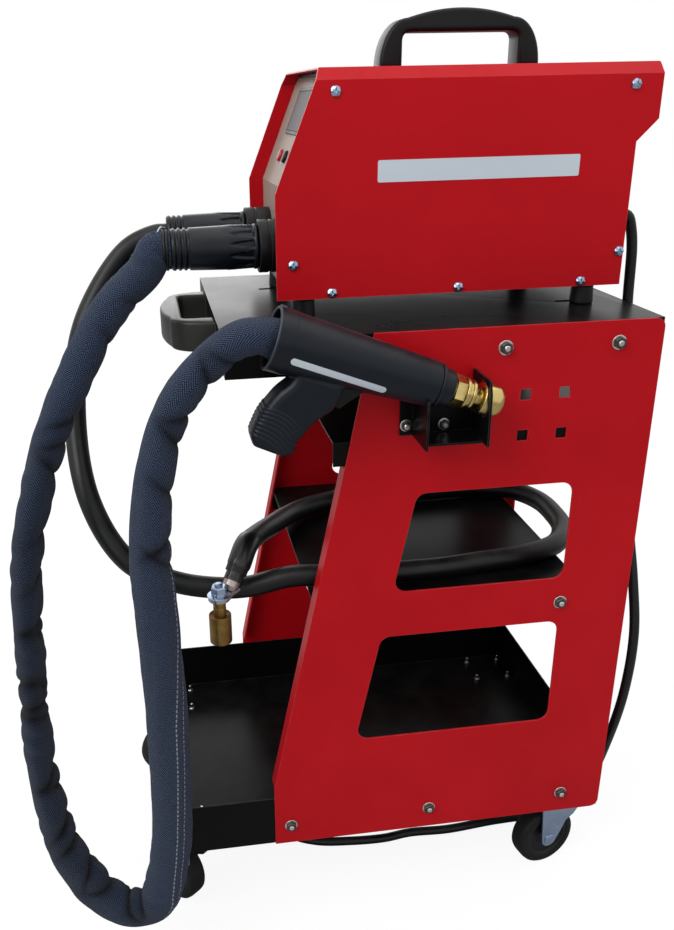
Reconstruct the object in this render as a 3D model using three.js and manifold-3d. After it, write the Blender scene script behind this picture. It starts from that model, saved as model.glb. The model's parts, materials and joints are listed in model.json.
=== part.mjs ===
// Dent pulling spot welder on its cart, in millimetres, +Z up, the cart's front towards -Y.
// The origin is at floor height, under the middle of everything that isn't a lead.
import * as THREE from 'three';
import { mergeVertices } from 'three/addons/utils/BufferGeometryUtils.js';
import Module from 'manifold-3d';

const wasm = await Module();
wasm.setup();

// Fits shared by all pieces
const seat = 0.3;
const runningGap = 0.6;
const overrun = 6;

// Cart
const cartWidth = 324;
const trayDepth = 507;
const trayHeight = 102;
const trayWall = 61;
const shelfSheet = 1.5;
const topShelfHeight = 671.5;
const topShelfDepth = 409.5;
const topShelfLip = 35.5;
const secondShelfDrop = 101.5;
const secondShelfLip = 24;
const secondShelfProud = 16;
const middleShelfShare = 0.62564;
const middleShelfLip = 30;
const middleShelfSetback = 47;
const shelfSlot = { width: 7, length: 37, halfSpread: 70, frontInset: 59, rearInset: 31.5 };

// Side panels of the cart
const panelSheet = 2;
const panelFoot = 376;
const panelHead = 275.5;
const panelToe = 76;
const panelCorner = 9;
const panelReturn = 16;
const panelReturnRelief = 2;
const windowFrontEdge = 77.5;
const windowRearEdge = 73;
const windowCorner = 12;
const windowOverTray = 69;
const windowUnderMiddle = 38;
const windowOverMiddle = 12.7;
const windowUnderSecond = 56.4;
const squareHole = { side: 10.6, fromRear: 91.5, pitchY: 38.4, fromTop: 65.6, pitchZ: 40.3 };

// Casters
const wheelDiameter = 75;
const wheelWidth = 22;
const tyreRound = 3;
const hubStandout = 1.2;
const hubRadius = 9;
const rimRadius = 27;
const rimRecess = 2.5;
const axleRadius = 4;
const axleHead = { radius: 7, thickness: 2 };
const casterTrail = 16;
const casterInsetX = 40;
const casterInsetY = 30.5;
const casterPlate = { width: 56, length: 58, thickness: 2.5, corner: 6 };
const raceRadius = 24;
const raceHeight = 5;
const forkSheet = 2.5;
const forkFoot = 10;
const kingpinRadius = 6;
const kingpinHead = { radius: 9.5, height: 3 };

// Carry handle and push handle, cast in one mould
const handleSpan = 157;
const handleOpening = 113.6;
const handleRise = 50.7;
const handleBar = 20.1;
const handleDepth = 30;
const handleInnerCorner = 8;
const handleShares = { crown: 0.66, shoulder: 0.84 };
const pushHandleDrop = 15.5;
const carryHandleAt = 193;

// Welder case
const caseWidth = 203.2;
const caseDepth = 334.8;
const caseHeight = 196.6;
const caseSheet = 1.5;
const caseSetback = 18.7;
const caseUpright = 93.7;
const slopeRun = 41.5;
const topChamfer = 10;
const rearOverhang = 19.2;
const rearOverhangDrop = 67.2;
const rearOverhangDepth = 47;
const baseFlange = 14;
const panelInset = 15;
const innerPanelSheet = 2;
const rearPanelInset = 10.8;
const legRadius = 11.5;
const legHeight = 20.5;
const legSpread = 82;
const legInset = 28;

// Sloped control face
const slopeReachShare = 2;
const controlUpShares = { display: 0.649, buttons: 0.2524 };
const displaySize = { width: 88, height: 38, thickness: 1.5, border: 4 };
const buttonRadius = 6;
const buttonProud = 3;
const buttonFlange = { radius: 8, thickness: 1.2 };
const buttonStemRadius = 2.5;
const buttonTravel = 1.2;
const buttonPitch = 32;
const buttonSides = 10;
const boardSize = { width: 120, foot: 12, headroom: 15, thickness: 1.6 };
const boardBoss = { radius: 3.5, length: 12, inset: 7 };
const switchBlock = { side: 6, height: 5 };
const ledBlock = { width: 60, height: 24, depth: 9 };

// Output sockets, plugs and what they feed inside the case
const socketSpread = 55;
const socketHeight = 43.7;
const socketRadius = 24.5;
const socketProud = 26;
const socketNeckRadius = 16.7;
const socketNeckLength = 6;
const socketStudRadius = 7;
const socketStudLength = 28;
const plugRadius = 20.75;
const plugTailRadius = 19;
const plugLength = 82;
const plugShoulder = 29;
const plugPinRadius = 9;
const plugPinLength = 23;
const plugGroove = { depth: 1.2, width: 2.4, pitch: 5, count: 3 };
const barThickness = 10;
const barHeight = 30;
const coreLeg = 25;
const coreDepth = 80;
const coreHeight = 125;
const coreAt = 120;
const windingOverhang = 22;
const barClearance = 3;

// Rear of the case
const fanRadius = 46;
const fanOpening = 50;
const fanHub = 14;
const fanLength = 18;
const fanBlades = 5;
const fanBladeSheet = 1.6;
const fanBladeChord = 15;
const fanBladePitch = 0.6;
const fanDrop = 78.6;
const spindleRadius = 3;
const grilleBar = 4;
const grilleHub = 16;
const rocker = { width: 14, halfHeight: 11.5, bulge: 5.5, depth: 8, pin: 1.5, tilt: 0.17 };
const rockerWaistShare = 0.7;
const rockerX = -60;
const rockerHeight = 40;
const cradleWall = 2;
const cradleDepth = 12;
const glandX = 70;
const glandHeight = 75.7;
const glandFlange = { radius: 13, thickness: 4 };
const glandDroop = Math.PI / 6;
const glandNose = { length: 18, rootRadius: 10, tipRadius: 7 };

// Pulling gun, along its own axis from the tail
const gunSlope = 0.331;
const gunTailRadius = 27.5;
const gunBodyRadius = 20.5;
const gunBodyLength = 141.7;
const gunWall = 2.5;
const gunPanelGap = 0.5;
const gunTailProud = 86;
const gunTailRise = 4.5;
const gripThickness = 32;
const gripFillet = 5;
const gripRootShare = 0.6;
const gripBackShare = 0.09;
const gripToeBack = 7;
const gripToeDepth = 84;
const gripHeelShare = 0.2;
const gripFrontShare = 0.45;
const noseRadius = 17;
const noseLength = 15;
const chuckRadius = 13;
const chuckLength = 22;
const nozzleRadius = 14.5;
const nozzleNeck = 7;
const nozzleLength = 19;
const nozzleStem = 8;
const conductorRadius = 5;
const triggerWidth = 12;
const triggerLength = 18;
const triggerHeight = 17;
const triggerTravel = 5;
const triggerRoot = 9;
const triggerFillet = 3;
const triggerSwitch = { length: 14, height: 10 };

// Holder for the gun on the near side panel
const holderSheet = 2;
const saddleAt = 130;
const saddleDrop = 14;
const ringAt = 189.3;
const ringRadius = 16;
const ringMargin = 4;
const holderDrop = 40;
const holderLead = 12;
const holderTopMargin = 6;

// Leads
const hoseDiameter = 40;
const hoseStraight = 14;
const hoseSteps = 30;
const groundDiameter = 23;
const groundStraight = 10;
const groundSteps = 58;
const cordDiameter = 10.5;
const cordSteps = 52;
const cordTurns = 5;
const turnPitch = 11.3;
const coilRadius = 70;
const coilCentre = { x: -25, y: -33 };
const coilEntryLead = 14;
const coilExitLead = 62;
const climbTurns = 0.5;
const floorGap = 0.35;
const powerPlug = { radius: 16.4, length: 38, tail: 7, tailEnd: 8.8, tailLength: 16 };
const powerPin = { radius: 2.4, length: 19, spread: 9.5 };
const lugAt = { x: 140, y: -170, z: 407 };
const lugSize = { radius: 11, thickness: 3.7, boltHole: 4.5, tongue: 18, barrel: 8.5, barrelLength: 15 };
const lugHeading = 0.82;
const lugRise = 0.85;
const boltSize = { head: 8.2, headHeight: 9, washer: 12, washerThickness: 2.4, shank: 4, shankLength: 18 };
const electrode = { stub: 6.5, stubLength: 22, radius: 10.75, length: 27, hole: 4.3, holeDepth: 19 };

// Facets
const fineSides = 18;
const roundSides = 14;
const smallSides = 8;
const cordSides = 8;
const sleeveSides = 10;
const coilSides = 6;
const coilStepsPerTurn = 24;
const gapSamplesPerTurn = 72;
const hexSides = 6;

// Colours and finishes read from the photograph
function finish(color, roughness, metalness = 0) {
  return new THREE.MeshStandardMaterial({ color, roughness, metalness });
}
const redPaint = finish(0xbe1c24, 0.35);
const blackPaint = finish(0x1a1b1e, 0.2);
const greyFace = finish(0xb9b6ae, 0.3);
const navyPlastic = finish(0x1c2230, 0.5);
const redPlastic = finish(0xc01820, 0.4);
const darkWindow = finish(0x14181c, 0.1);
const blackRubber = finish(0x1b1c1e, 0.7);
const zinc = finish(0xaab4c4, 0.35, 1);
const steel = finish(0x9a9ca0, 0.4, 1);
const brass = finish(0xc8a860, 0.3, 1);
const copper = finish(0xb87348, 0.35, 1);
const denim = finish(0x2c3550, 0.95);
const boardGreen = finish(0x1f5a36, 0.6);

// Solids: join, cut and intersect closed meshes

function solidOf(geometry) {
  const bare = geometry.clone();
  bare.deleteAttribute('normal');
  bare.deleteAttribute('uv');
  const merged = mergeVertices(bare);
  const corners = [];
  for (let i = 0; i < merged.index.count; i += 3) {
    const [a, b, c] = [0, 1, 2].map((k) => merged.index.getX(i + k));
    if (a !== b && b !== c && c !== a) corners.push(a, b, c);
  }
  const vertProperties = Float32Array.from(merged.attributes.position.array);
  if (volumeOf(vertProperties, corners) < 0) corners.reverse();
  const triVerts = Uint32Array.from(corners);
  return new wasm.Manifold(new wasm.Mesh({ numProp: 3, vertProperties, triVerts }));
}

function volumeOf(positions, corners) {
  const point = (index) => new THREE.Vector3().fromArray(positions, 3 * index);
  let total = 0;
  for (let i = 0; i < corners.length; i += 3) {
    const [a, b, c] = [0, 1, 2].map((k) => point(corners[i + k]));
    total += a.dot(b.cross(c));
  }
  return total / 6;
}

function geometryOf(solid) {
  const mesh = solid.getMesh();
  const geometry = new THREE.BufferGeometry();
  geometry.setAttribute('position', new THREE.BufferAttribute(mesh.vertProperties, 3));
  geometry.setIndex(new THREE.BufferAttribute(mesh.triVerts, 1));
  geometry.computeVertexNormals();
  return geometry;
}

function join(first, ...others) {
  const whole = others.reduce((sum, other) => sum.add(solidOf(other)), solidOf(first));
  return geometryOf(whole);
}

function cut(body, ...tools) {
  const rest = tools.reduce((left, tool) => left.subtract(solidOf(tool)), solidOf(body));
  return geometryOf(rest);
}

function common(first, second) {
  return geometryOf(solidOf(first).intersect(solidOf(second)));
}

// Basic shapes

function block([x0, x1], [y0, y1], [z0, z1]) {
  const box = new THREE.BoxGeometry(x1 - x0, y1 - y0, z1 - z0);
  return box.translate((x0 + x1) / 2, (y0 + y1) / 2, (z0 + z1) / 2);
}

// Axis frames: the turning axis of each lathe and cylinder goes from Y to the wanted axis
const axisTurns = {
  x: new THREE.Matrix4().makeBasis(
    new THREE.Vector3(0, 1, 0), new THREE.Vector3(1, 0, 0), new THREE.Vector3(0, 0, -1)),
  y: new THREE.Matrix4(),
  z: new THREE.Matrix4().makeRotationX(Math.PI / 2),
};

// A turned piece: profile points are [distance along the axis, radius]
function turned(axis, profile, sides = roundSides) {
  const points = profile.map(([along, radius]) => new THREE.Vector2(radius, along));
  const lathe = new THREE.LatheGeometry(points, sides);
  return geometryOf(solidOf(lathe.applyMatrix4(axisTurns[axis])));
}

function rod(axis, radius, [from, to], sides = roundSides) {
  return turned(axis, [[from, 0], [from, radius], [to, radius], [to, 0]], sides);
}

// An outline from corners [a, b, fillet]
function outline(corners) {
  const shape = new THREE.Shape();
  const count = corners.length;
  corners.forEach(([a, b, fillet = 0], i) => {
    const here = new THREE.Vector2(a, b);
    const back = new THREE.Vector2(...corners[(i + count - 1) % count]).sub(here).normalize();
    const ahead = new THREE.Vector2(...corners[(i + 1) % count]).sub(here).normalize();
    if (fillet > 0) {
      const half = Math.acos(THREE.MathUtils.clamp(back.dot(ahead), -1, 1)) / 2;
      const centre = back.clone().add(ahead).setLength(fillet / Math.sin(half)).add(here);
      const start = back.multiplyScalar(fillet / Math.tan(half)).add(here).sub(centre);
      const end = ahead.multiplyScalar(fillet / Math.tan(half)).add(here).sub(centre);
      // An arc is joined to what comes before it only once the shape has a curve
      if (i > 0 && shape.curves.length === 0) shape.lineTo(centre.x + start.x, centre.y + start.y);
      shape.absarc(centre.x, centre.y, fillet, start.angle(), end.angle(), start.cross(end) < 0);
    } else if (i === 0) {
      shape.moveTo(a, b);
    } else {
      shape.lineTo(a, b);
    }
  });
  return shape;
}

// Planes of an outline: its two axes, with the thickness along the third
const planeTurns = {
  xy: new THREE.Matrix4(),
  yz: new THREE.Matrix4().makeBasis(
    new THREE.Vector3(0, 1, 0), new THREE.Vector3(0, 0, 1), new THREE.Vector3(1, 0, 0)),
  xz: new THREE.Matrix4().makeBasis(
    new THREE.Vector3(1, 0, 0), new THREE.Vector3(0, 0, 1), new THREE.Vector3(0, -1, 0)),
};

function slab(plane, shape, [from, to], curveSegments = 4) {
  const slice = new THREE.ExtrudeGeometry(shape, { depth: to - from, bevelEnabled: false, curveSegments });
  slice.translate(0, 0, plane === 'xz' ? -to : from);
  return slice.applyMatrix4(planeTurns[plane]);
}

function tube(curve, diameter, sides, steps) {
  const section = new THREE.Shape();
  for (let i = 0; i < sides; i += 1) {
    const angle = 2 * Math.PI * (i + 0.5) / sides;
    const [a, b] = [Math.cos(angle), Math.sin(angle)].map((part) => part * diameter / 2);
    if (i === 0) section.moveTo(a, b);
    else section.lineTo(a, b);
  }
  const swept = new THREE.ExtrudeGeometry(section, { extrudePath: curve, steps, bevelEnabled: false });
  return geometryOf(solidOf(swept));
}

function route(points) {
  const corners = points.map(([x, y, z]) => new THREE.Vector3(x, y, z));
  return new THREE.CatmullRomCurve3(corners, false, 'centripetal');
}

// The scene graph
const whole = new THREE.Group();

function add(name, geometry, material, parent = whole) {
  const mesh = new THREE.Mesh(geometry, material);
  mesh.name = name;
  parent.add(mesh);
  return mesh;
}

function groupAt(x, y, z, parent = whole) {
  const group = new THREE.Group();
  group.position.set(x, y, z);
  parent.add(group);
  return group;
}

// Places that several pieces share
const rear = trayDepth / 2;
const panelOuter = cartWidth / 2;
const panelInner = panelOuter - panelSheet;
const shelfHalf = panelInner - seat;
const secondShelfHeight = topShelfHeight - secondShelfDrop;
const middleShelfHeight = THREE.MathUtils.lerp(trayHeight, secondShelfHeight, middleShelfShare);
const panelTopFront = rear - panelHead;
const panelFootFront = rear - panelFoot;
const panelKink = trayHeight + panelToe;
const secondShelfFoot = secondShelfHeight - secondShelfLip;

function panelFrontAt(z) {
  return THREE.MathUtils.mapLinear(z, panelKink, topShelfHeight, panelFootFront, panelTopFront);
}

// Cart: tray, shelves and side panels

function buildTray() {
  const rim = trayHeight + trayWall;
  const shell = block([-shelfHalf, shelfHalf], [-rear, rear], [trayHeight, rim]);
  const wall = shelfHalf - shelfSheet;
  const inner = rear - shelfSheet;
  const hollow = block([-wall, wall], [-inner, inner], [trayHeight + shelfSheet, rim + overrun]);
  add('bottom_tray', cut(shell, hollow), blackPaint);
}

function slotCutter(x, y) {
  const [a, b] = [shelfSlot.width / 2, shelfSlot.length / 2];
  const shape = outline([[x - a, y - b, a], [x + a, y - b, a], [x + a, y + b, a], [x - a, y + b, a]]);
  return slab('xy', shape, [topShelfHeight - topShelfLip, topShelfHeight + overrun], 3);
}

function buildTopShelf() {
  const front = rear - topShelfDepth;
  const foot = topShelfHeight - topShelfLip;
  const shell = block([-shelfHalf, shelfHalf], [front, rear], [foot, topShelfHeight]);
  const wall = shelfHalf - shelfSheet;
  const hollow = block(
    [-wall, wall], [front + shelfSheet, rear - shelfSheet], [foot - overrun, topShelfHeight - shelfSheet]);
  const slots = [];
  for (const side of [-1, 1]) {
    slots.push(slotCutter(side * shelfSlot.halfSpread, front + shelfSlot.frontInset + shelfSlot.length / 2));
    slots.push(slotCutter(side * shelfSlot.halfSpread, rear - shelfSlot.rearInset - shelfSlot.length / 2));
  }
  add('top_shelf', cut(shell, hollow, ...slots), blackPaint);
}

// A shelf with lips down its two sides, open at front and rear
function buildOpenShelf(name, height, lip, front, back) {
  const shell = block([-shelfHalf, shelfHalf], [front, back], [height - lip, height]);
  const wall = shelfHalf - shelfSheet;
  const under = block(
    [-wall, wall], [front - overrun, back + overrun], [height - lip - overrun, height - shelfSheet]);
  add(name, cut(shell, under), blackPaint);
}

// One cut-out of the side panel: its front edge runs parallel to the panel's own
function windowCutter(low, high, reach) {
  const back = rear - windowRearEdge;
  const shape = outline([
    [panelFrontAt(low) + windowFrontEdge, low, windowCorner], [back, low, windowCorner],
    [back, high, windowCorner], [panelFrontAt(high) + windowFrontEdge, high, windowCorner],
  ]);
  return slab('yz', shape, reach, 3);
}

function buildSidePanel(name, side) {
  const sheet = side > 0 ? [panelInner, panelOuter] : [-panelOuter, -panelInner];
  const through = [sheet[0] - overrun, sheet[1] + overrun];
  const tongueEdge = panelOuter - panelReturn - panelSheet;
  const tongue = side > 0 ? [tongueEdge, panelOuter] : [-panelOuter, -tongueEdge];
  const face = slab('yz', outline([
    [panelFootFront, trayHeight], [rear, trayHeight, panelCorner],
    [rear, topShelfHeight, panelCorner], [panelTopFront, topShelfHeight], [panelFootFront, panelKink],
  ]), sheet);
  const frontTop = secondShelfFoot - panelReturnRelief;
  const frontReturn = slab('yz', outline([
    [panelFrontAt(panelKink), panelKink], [panelFrontAt(panelKink) + panelSheet, panelKink],
    [panelFrontAt(frontTop) + panelSheet, frontTop], [panelFrontAt(frontTop), frontTop],
  ]), tongue);
  const rearFoot = trayHeight + trayWall + panelCorner + panelReturnRelief;
  const rearTop = topShelfHeight - topShelfLip - panelReturnRelief;
  const rearReturn = block(tongue, [rear - panelSheet, rear], [rearFoot, rearTop]);
  const cutters = [
    windowCutter(trayHeight + trayWall + windowOverTray, middleShelfHeight - windowUnderMiddle, through),
    windowCutter(middleShelfHeight + windowOverMiddle, secondShelfHeight - windowUnderSecond, through),
  ];
  for (const i of [0, 1]) {
    for (const j of [0, 1]) {
      const y = rear - squareHole.fromRear - i * squareHole.pitchY;
      const z = topShelfHeight - squareHole.fromTop - j * squareHole.pitchZ;
      const half = squareHole.side / 2;
      cutters.push(block(through, [y - half, y + half], [z - half, z + half]));
    }
  }
  add(name, cut(join(face, frontReturn, rearReturn), ...cutters), redPaint);
}

// Handle with its span along X and its rise along Y, both ends at Y zero
function handleSolid() {
  const half = handleSpan / 2;
  const inner = handleOpening / 2;
  const sill = handleRise - handleBar;
  const crown = half * handleShares.crown;
  const shoulder = half * handleShares.shoulder;
  const shoulderRise = handleRise * handleShares.shoulder;
  const shape = new THREE.Shape();
  shape.moveTo(-half, 0);
  shape.bezierCurveTo(-half, handleRise / 2, -shoulder, shoulderRise, -crown, shoulderRise);
  shape.quadraticCurveTo(-half / 3, handleRise, 0, handleRise);
  shape.quadraticCurveTo(half / 3, handleRise, crown, shoulderRise);
  shape.bezierCurveTo(shoulder, shoulderRise, half, handleRise / 2, half, 0);
  shape.lineTo(inner, 0);
  shape.lineTo(inner, sill - handleInnerCorner);
  shape.quadraticCurveTo(inner, sill, inner - handleInnerCorner, sill);
  shape.lineTo(handleInnerCorner - inner, sill);
  shape.quadraticCurveTo(-inner, sill, -inner, sill - handleInnerCorner);
  shape.lineTo(-inner, 0);
  return slab('xy', shape, [-handleDepth / 2, handleDepth / 2], 5);
}

// Casters

function wheelProfile() {
  const radius = wheelDiameter / 2;
  const [edge, hub] = [wheelWidth / 2, wheelWidth / 2 + hubStandout];
  const bore = axleRadius + seat;
  const outer = [
    [hub, bore], [hub, hubRadius], [edge - rimRecess, hubRadius + rimRecess], [edge - rimRecess, rimRadius],
    [edge, rimRadius + rimRecess], [edge, radius - tyreRound], [edge - tyreRound, radius],
  ];
  const other = outer.map(([along, r]) => [-along, r]).reverse();
  return [...outer, ...other, outer[0]];
}

function buildCaster(name, x, y, heading) {
  const plateFoot = trayHeight - seat - casterPlate.thickness;
  const raceFoot = plateFoot - raceHeight;
  const crownTop = raceFoot - seat;
  const crownFoot = crownTop - forkSheet;
  const headTop = crownFoot - seat;
  const [halfX, halfY, corner] = [casterPlate.width / 2, casterPlate.length / 2, casterPlate.corner];
  const plate = slab('xy', outline([
    [-halfX, -halfY, corner], [halfX, -halfY, corner], [halfX, halfY, corner], [-halfX, halfY, corner],
  ]), [plateFoot, trayHeight - seat], 2);
  const headFoot = headTop - kingpinHead.height;
  const pin = turned('z', [
    [plateFoot + seat, 0], [plateFoot + seat, raceRadius], [raceFoot, raceRadius],
    [raceFoot, kingpinRadius], [headTop, kingpinRadius], [headTop, kingpinHead.radius],
    [headFoot, kingpinHead.radius], [headFoot, 0],
  ]);
  const mount = groupAt(x, y, 0);
  add(`${name}_plate`, join(plate, pin), zinc, mount);

  const swivel = groupAt(0, 0, 0, mount);
  swivel.rotation.z = heading;
  const axleHeight = wheelDiameter / 2;
  const armInner = wheelWidth / 2 + hubStandout + seat;
  const armOuter = armInner + forkSheet;
  const crown = cut(rod('z', raceRadius, [crownFoot, crownTop]),
    rod('z', kingpinRadius + seat, [crownFoot - overrun, crownTop + overrun]));
  const armShape = outline([
    [-raceRadius, crownTop], [-casterTrail - forkFoot, axleHeight, forkFoot],
    [-casterTrail, axleHeight - forkFoot, forkFoot / 2], [-casterTrail + forkFoot, axleHeight, forkFoot],
    [raceRadius / 2, crownTop],
  ]);
  const arms = [
    slab('yz', armShape, [armInner, armOuter], 3), slab('yz', armShape, [-armOuter, -armInner], 3)];
  const headOuter = armOuter + axleHead.thickness;
  const axle = turned('x', [
    [-headOuter, 0], [-headOuter, axleHead.radius], [-armOuter, axleHead.radius],
    [-armOuter, axleRadius], [armOuter, axleRadius], [armOuter, axleHead.radius],
    [headOuter, axleHead.radius], [headOuter, 0],
  ], smallSides).translate(0, -casterTrail, axleHeight);
  add(`${name}_fork`, join(crown, ...arms, axle), zinc, swivel);

  const wheel = add(`${name}_wheel`, turned('x', wheelProfile(), fineSides), blackRubber, swivel);
  wheel.position.set(0, -casterTrail, axleHeight);
}

// Welder case, in its own frame: front foot of the case at Y zero, underside at Z zero
const caseFront = rear - caseSetback - caseDepth;
const caseFoot = topShelfHeight + legHeight;
const welder = groupAt(0, caseFront, caseFoot);
const slopeRise = caseHeight - caseUpright;
const lean = Math.atan2(slopeRun, slopeRise);
const caseInner = caseWidth / 2 - caseSheet;
const panelHalf = caseInner - seat;
const floorTop = seat + caseSheet;
const innerPanelFoot = floorTop + seat;

// Cross-section of the case, drawn in by an inset, from a given foot
function caseSection(inset, foot) {
  const half = caseWidth / 2 - inset;
  const top = caseHeight - inset;
  return outline([
    [-half, foot], [half, foot], [half, top - topChamfer], [half - topChamfer, top],
    [topChamfer - half, top], [-half, top - topChamfer],
  ]);
}

function buildCase() {
  const overhangFoot = caseHeight - rearOverhangDrop;
  const overhangTop = overhangFoot + rearOverhangDepth;
  const side = slab('yz', outline([
    [0, 0], [caseDepth, 0], [caseDepth, overhangFoot],
    [caseDepth + rearOverhang, overhangFoot + rearOverhang], [caseDepth + rearOverhang, overhangTop],
    [caseDepth + rearOverhang, caseHeight, caseSheet], [slopeRun, caseHeight, caseSheet], [0, caseUpright],
  ]), [-caseWidth / 2, caseWidth / 2]);
  const length = caseDepth + rearOverhang + overrun;
  const outer = slab('xz', caseSection(0, -overrun), [-overrun, length]);
  const inner = slab('xz', caseSection(caseSheet, -overrun), [-overrun, length]);
  add('machine_cover', cut(common(side, outer), inner), redPaint, welder);

  const plate = block([-panelHalf, panelHalf], [panelInset, caseDepth], [seat, floorTop]);
  const flanges = [-1, 1].map((way) => {
    const edges = [way * panelHalf, way * (panelHalf - caseSheet)].sort((a, b) => a - b);
    return block(edges, [panelInset + innerPanelSheet + seat, rearPanelFace - seat], [seat, baseFlange]);
  });
  add('machine_base', join(plate, ...flanges), blackPaint, welder);
}

// Sloped control face: X across, Z up the slope from the bend, Y into the case
const faceFrame = new THREE.Matrix4().makeRotationX(-lean).setPosition(0, panelInset, caseUpright);
const controlFace = groupAt(0, 0, 0, welder);
controlFace.applyMatrix4(faceFrame);
const bossEnd = innerPanelSheet + boardBoss.length;
const boardFace = bossEnd + seat;
const buttonNames = ['mode_button', 'up_button', 'down_button'];
const buttonPlaces = buttonNames.map((name, i) => (i - (buttonNames.length - 1) / 2) * buttonPitch);
const slopeLength = Math.hypot(slopeRun, slopeRise);
const displayUp = slopeLength * controlUpShares.display;
const buttonUp = slopeLength * controlUpShares.buttons;
const boardHead = slopeLength - boardSize.headroom;
const displayHalf = displaySize.width / 2 - displaySize.border;
const displayRise = displaySize.height / 2 - displaySize.border;

function bossPlaces() {
  const half = boardSize.width / 2 - boardBoss.inset;
  const low = boardSize.foot + boardBoss.inset;
  const high = boardHead - boardBoss.inset;
  return [[-half, low], [half, low], [half, high], [-half, high]];
}

function buildFrontPanel() {
  const bent = innerPanelSheet / Math.cos(lean);
  const [pastRun, pastRise] = [slopeRun, slopeRise].map((part) => part * slopeReachShare);
  const profile = outline([
    [panelInset, innerPanelFoot], [panelInset, caseUpright],
    [panelInset + pastRun, caseUpright + pastRise], [panelInset + bent + pastRun, caseUpright + pastRise],
    [panelInset + bent, caseUpright], [panelInset + bent, innerPanelFoot],
  ]);
  const sheet = slab('yz', profile, [-panelHalf, panelHalf]);
  const section = slab('xz', caseSection(caseSheet + seat, innerPanelFoot), [-overrun, caseDepth]);
  const bosses = bossPlaces().map(([x, up]) => rod('y', boardBoss.radius,
    [innerPanelSheet / 2, bossEnd], smallSides).translate(x, 0, up).applyMatrix4(faceFrame));
  const through = [-overrun, innerPanelSheet + overrun / 2];
  const display = block([-displayHalf - seat, displayHalf + seat], through,
    [displayUp - displayRise - seat, displayUp + displayRise + seat]).applyMatrix4(faceFrame);
  const buttonHoles = buttonPlaces.map((x) => rod('y', buttonRadius + runningGap, through)
    .translate(x, 0, buttonUp).applyMatrix4(faceFrame));
  const socketHoles = [-1, 1].map((side) => rod('y', socketNeckRadius + runningGap,
    [panelInset - overrun, panelInset + bent + overrun], fineSides)
    .translate(side * socketSpread, 0, socketHeight));
  const panel = join(common(sheet, section), ...bosses);
  add('front_panel', cut(panel, display, ...buttonHoles, ...socketHoles), greyFace, welder);
}

function buildControls() {
  const [half, rise] = [displaySize.width / 2, displaySize.height / 2];
  const pane = block([-half, half], [-seat - displaySize.thickness, -seat], [-rise, rise]);
  const plugBack = block(
    [-displayHalf, displayHalf], [-2 * seat, innerPanelSheet], [-displayRise, displayRise]);
  const display = add('display_window', join(pane, plugBack), darkWindow, controlFace);
  display.position.z = displayUp;

  const flangeTop = innerPanelSheet + seat;
  const flangeEnd = flangeTop + buttonFlange.thickness;
  const stemEnd = boardFace - switchBlock.height - buttonTravel - seat;
  buttonNames.forEach((name, i) => {
    const cap = turned('y', [
      [-buttonProud, 0], [-buttonProud, buttonRadius], [flangeTop, buttonRadius],
      [flangeTop, buttonFlange.radius], [flangeEnd, buttonFlange.radius],
      [flangeEnd, buttonStemRadius], [stemEnd, buttonStemRadius], [stemEnd, 0],
    ], buttonSides);
    const button = add(name, cap, i === 0 ? redPlastic : navyPlastic, controlFace);
    button.position.set(buttonPlaces[i], 0, buttonUp);
  });

  const halfBoard = boardSize.width / 2;
  const board = block([-halfBoard, halfBoard], [boardFace, boardFace + boardSize.thickness],
    [boardSize.foot, boardHead]);
  const switches = buttonPlaces.map((x) => block(
    [x - switchBlock.side / 2, x + switchBlock.side / 2],
    [boardFace - switchBlock.height, boardFace + seat],
    [buttonUp - switchBlock.side / 2, buttonUp + switchBlock.side / 2]));
  const leds = block(
    [-ledBlock.width / 2, ledBlock.width / 2], [boardFace - ledBlock.depth, boardFace + seat],
    [displayUp - ledBlock.height / 2, displayUp + ledBlock.height / 2]);
  add('control_board', join(board, ...switches, leds), boardGreen, controlFace);
}

// Outputs: sockets, plugs, transformer
const socketFace = panelInset - seat - socketProud;
const studEnd = panelInset - seat + socketNeckLength + socketStudLength;
const plugFace = socketFace - seat;

function buildSocket(name, x) {
  const neck = panelInset - seat;
  const neckEnd = neck + socketNeckLength;
  const bore = plugPinRadius + seat;
  const boreEnd = plugFace + plugPinLength + seat;
  const body = turned('y', [
    [studEnd, 0], [studEnd, socketStudRadius], [neckEnd, socketStudRadius], [neckEnd, socketNeckRadius],
    [neck, socketNeckRadius], [neck, socketRadius], [socketFace, socketRadius], [socketFace, bore],
    [boreEnd, bore], [boreEnd, 0],
  ], fineSides);
  add(name, body, navyPlastic, welder).position.set(x, 0, socketHeight);
}

function buildCablePlug(name, x) {
  const tail = plugFace - plugLength;
  const shoulder = plugFace - plugShoulder;
  const profile = [
    [plugFace + plugPinLength, 0], [plugFace + plugPinLength, plugPinRadius],
    [plugFace, plugPinRadius], [plugFace, plugRadius], [shoulder, plugRadius],
  ];
  for (let i = plugGroove.count; i > 0; i -= 1) {
    const start = tail + i * plugGroove.pitch;
    const edge = THREE.MathUtils.mapLinear(start, shoulder, tail, plugRadius, plugTailRadius);
    profile.push([start, edge], [start - plugGroove.width / 2, edge - plugGroove.depth]);
    profile.push([start - plugGroove.width, edge]);
  }
  profile.push([tail, plugTailRadius], [tail, 0]);
  add(name, turned('y', profile, fineSides), navyPlastic, welder).position.set(x, 0, socketHeight);
}

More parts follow.
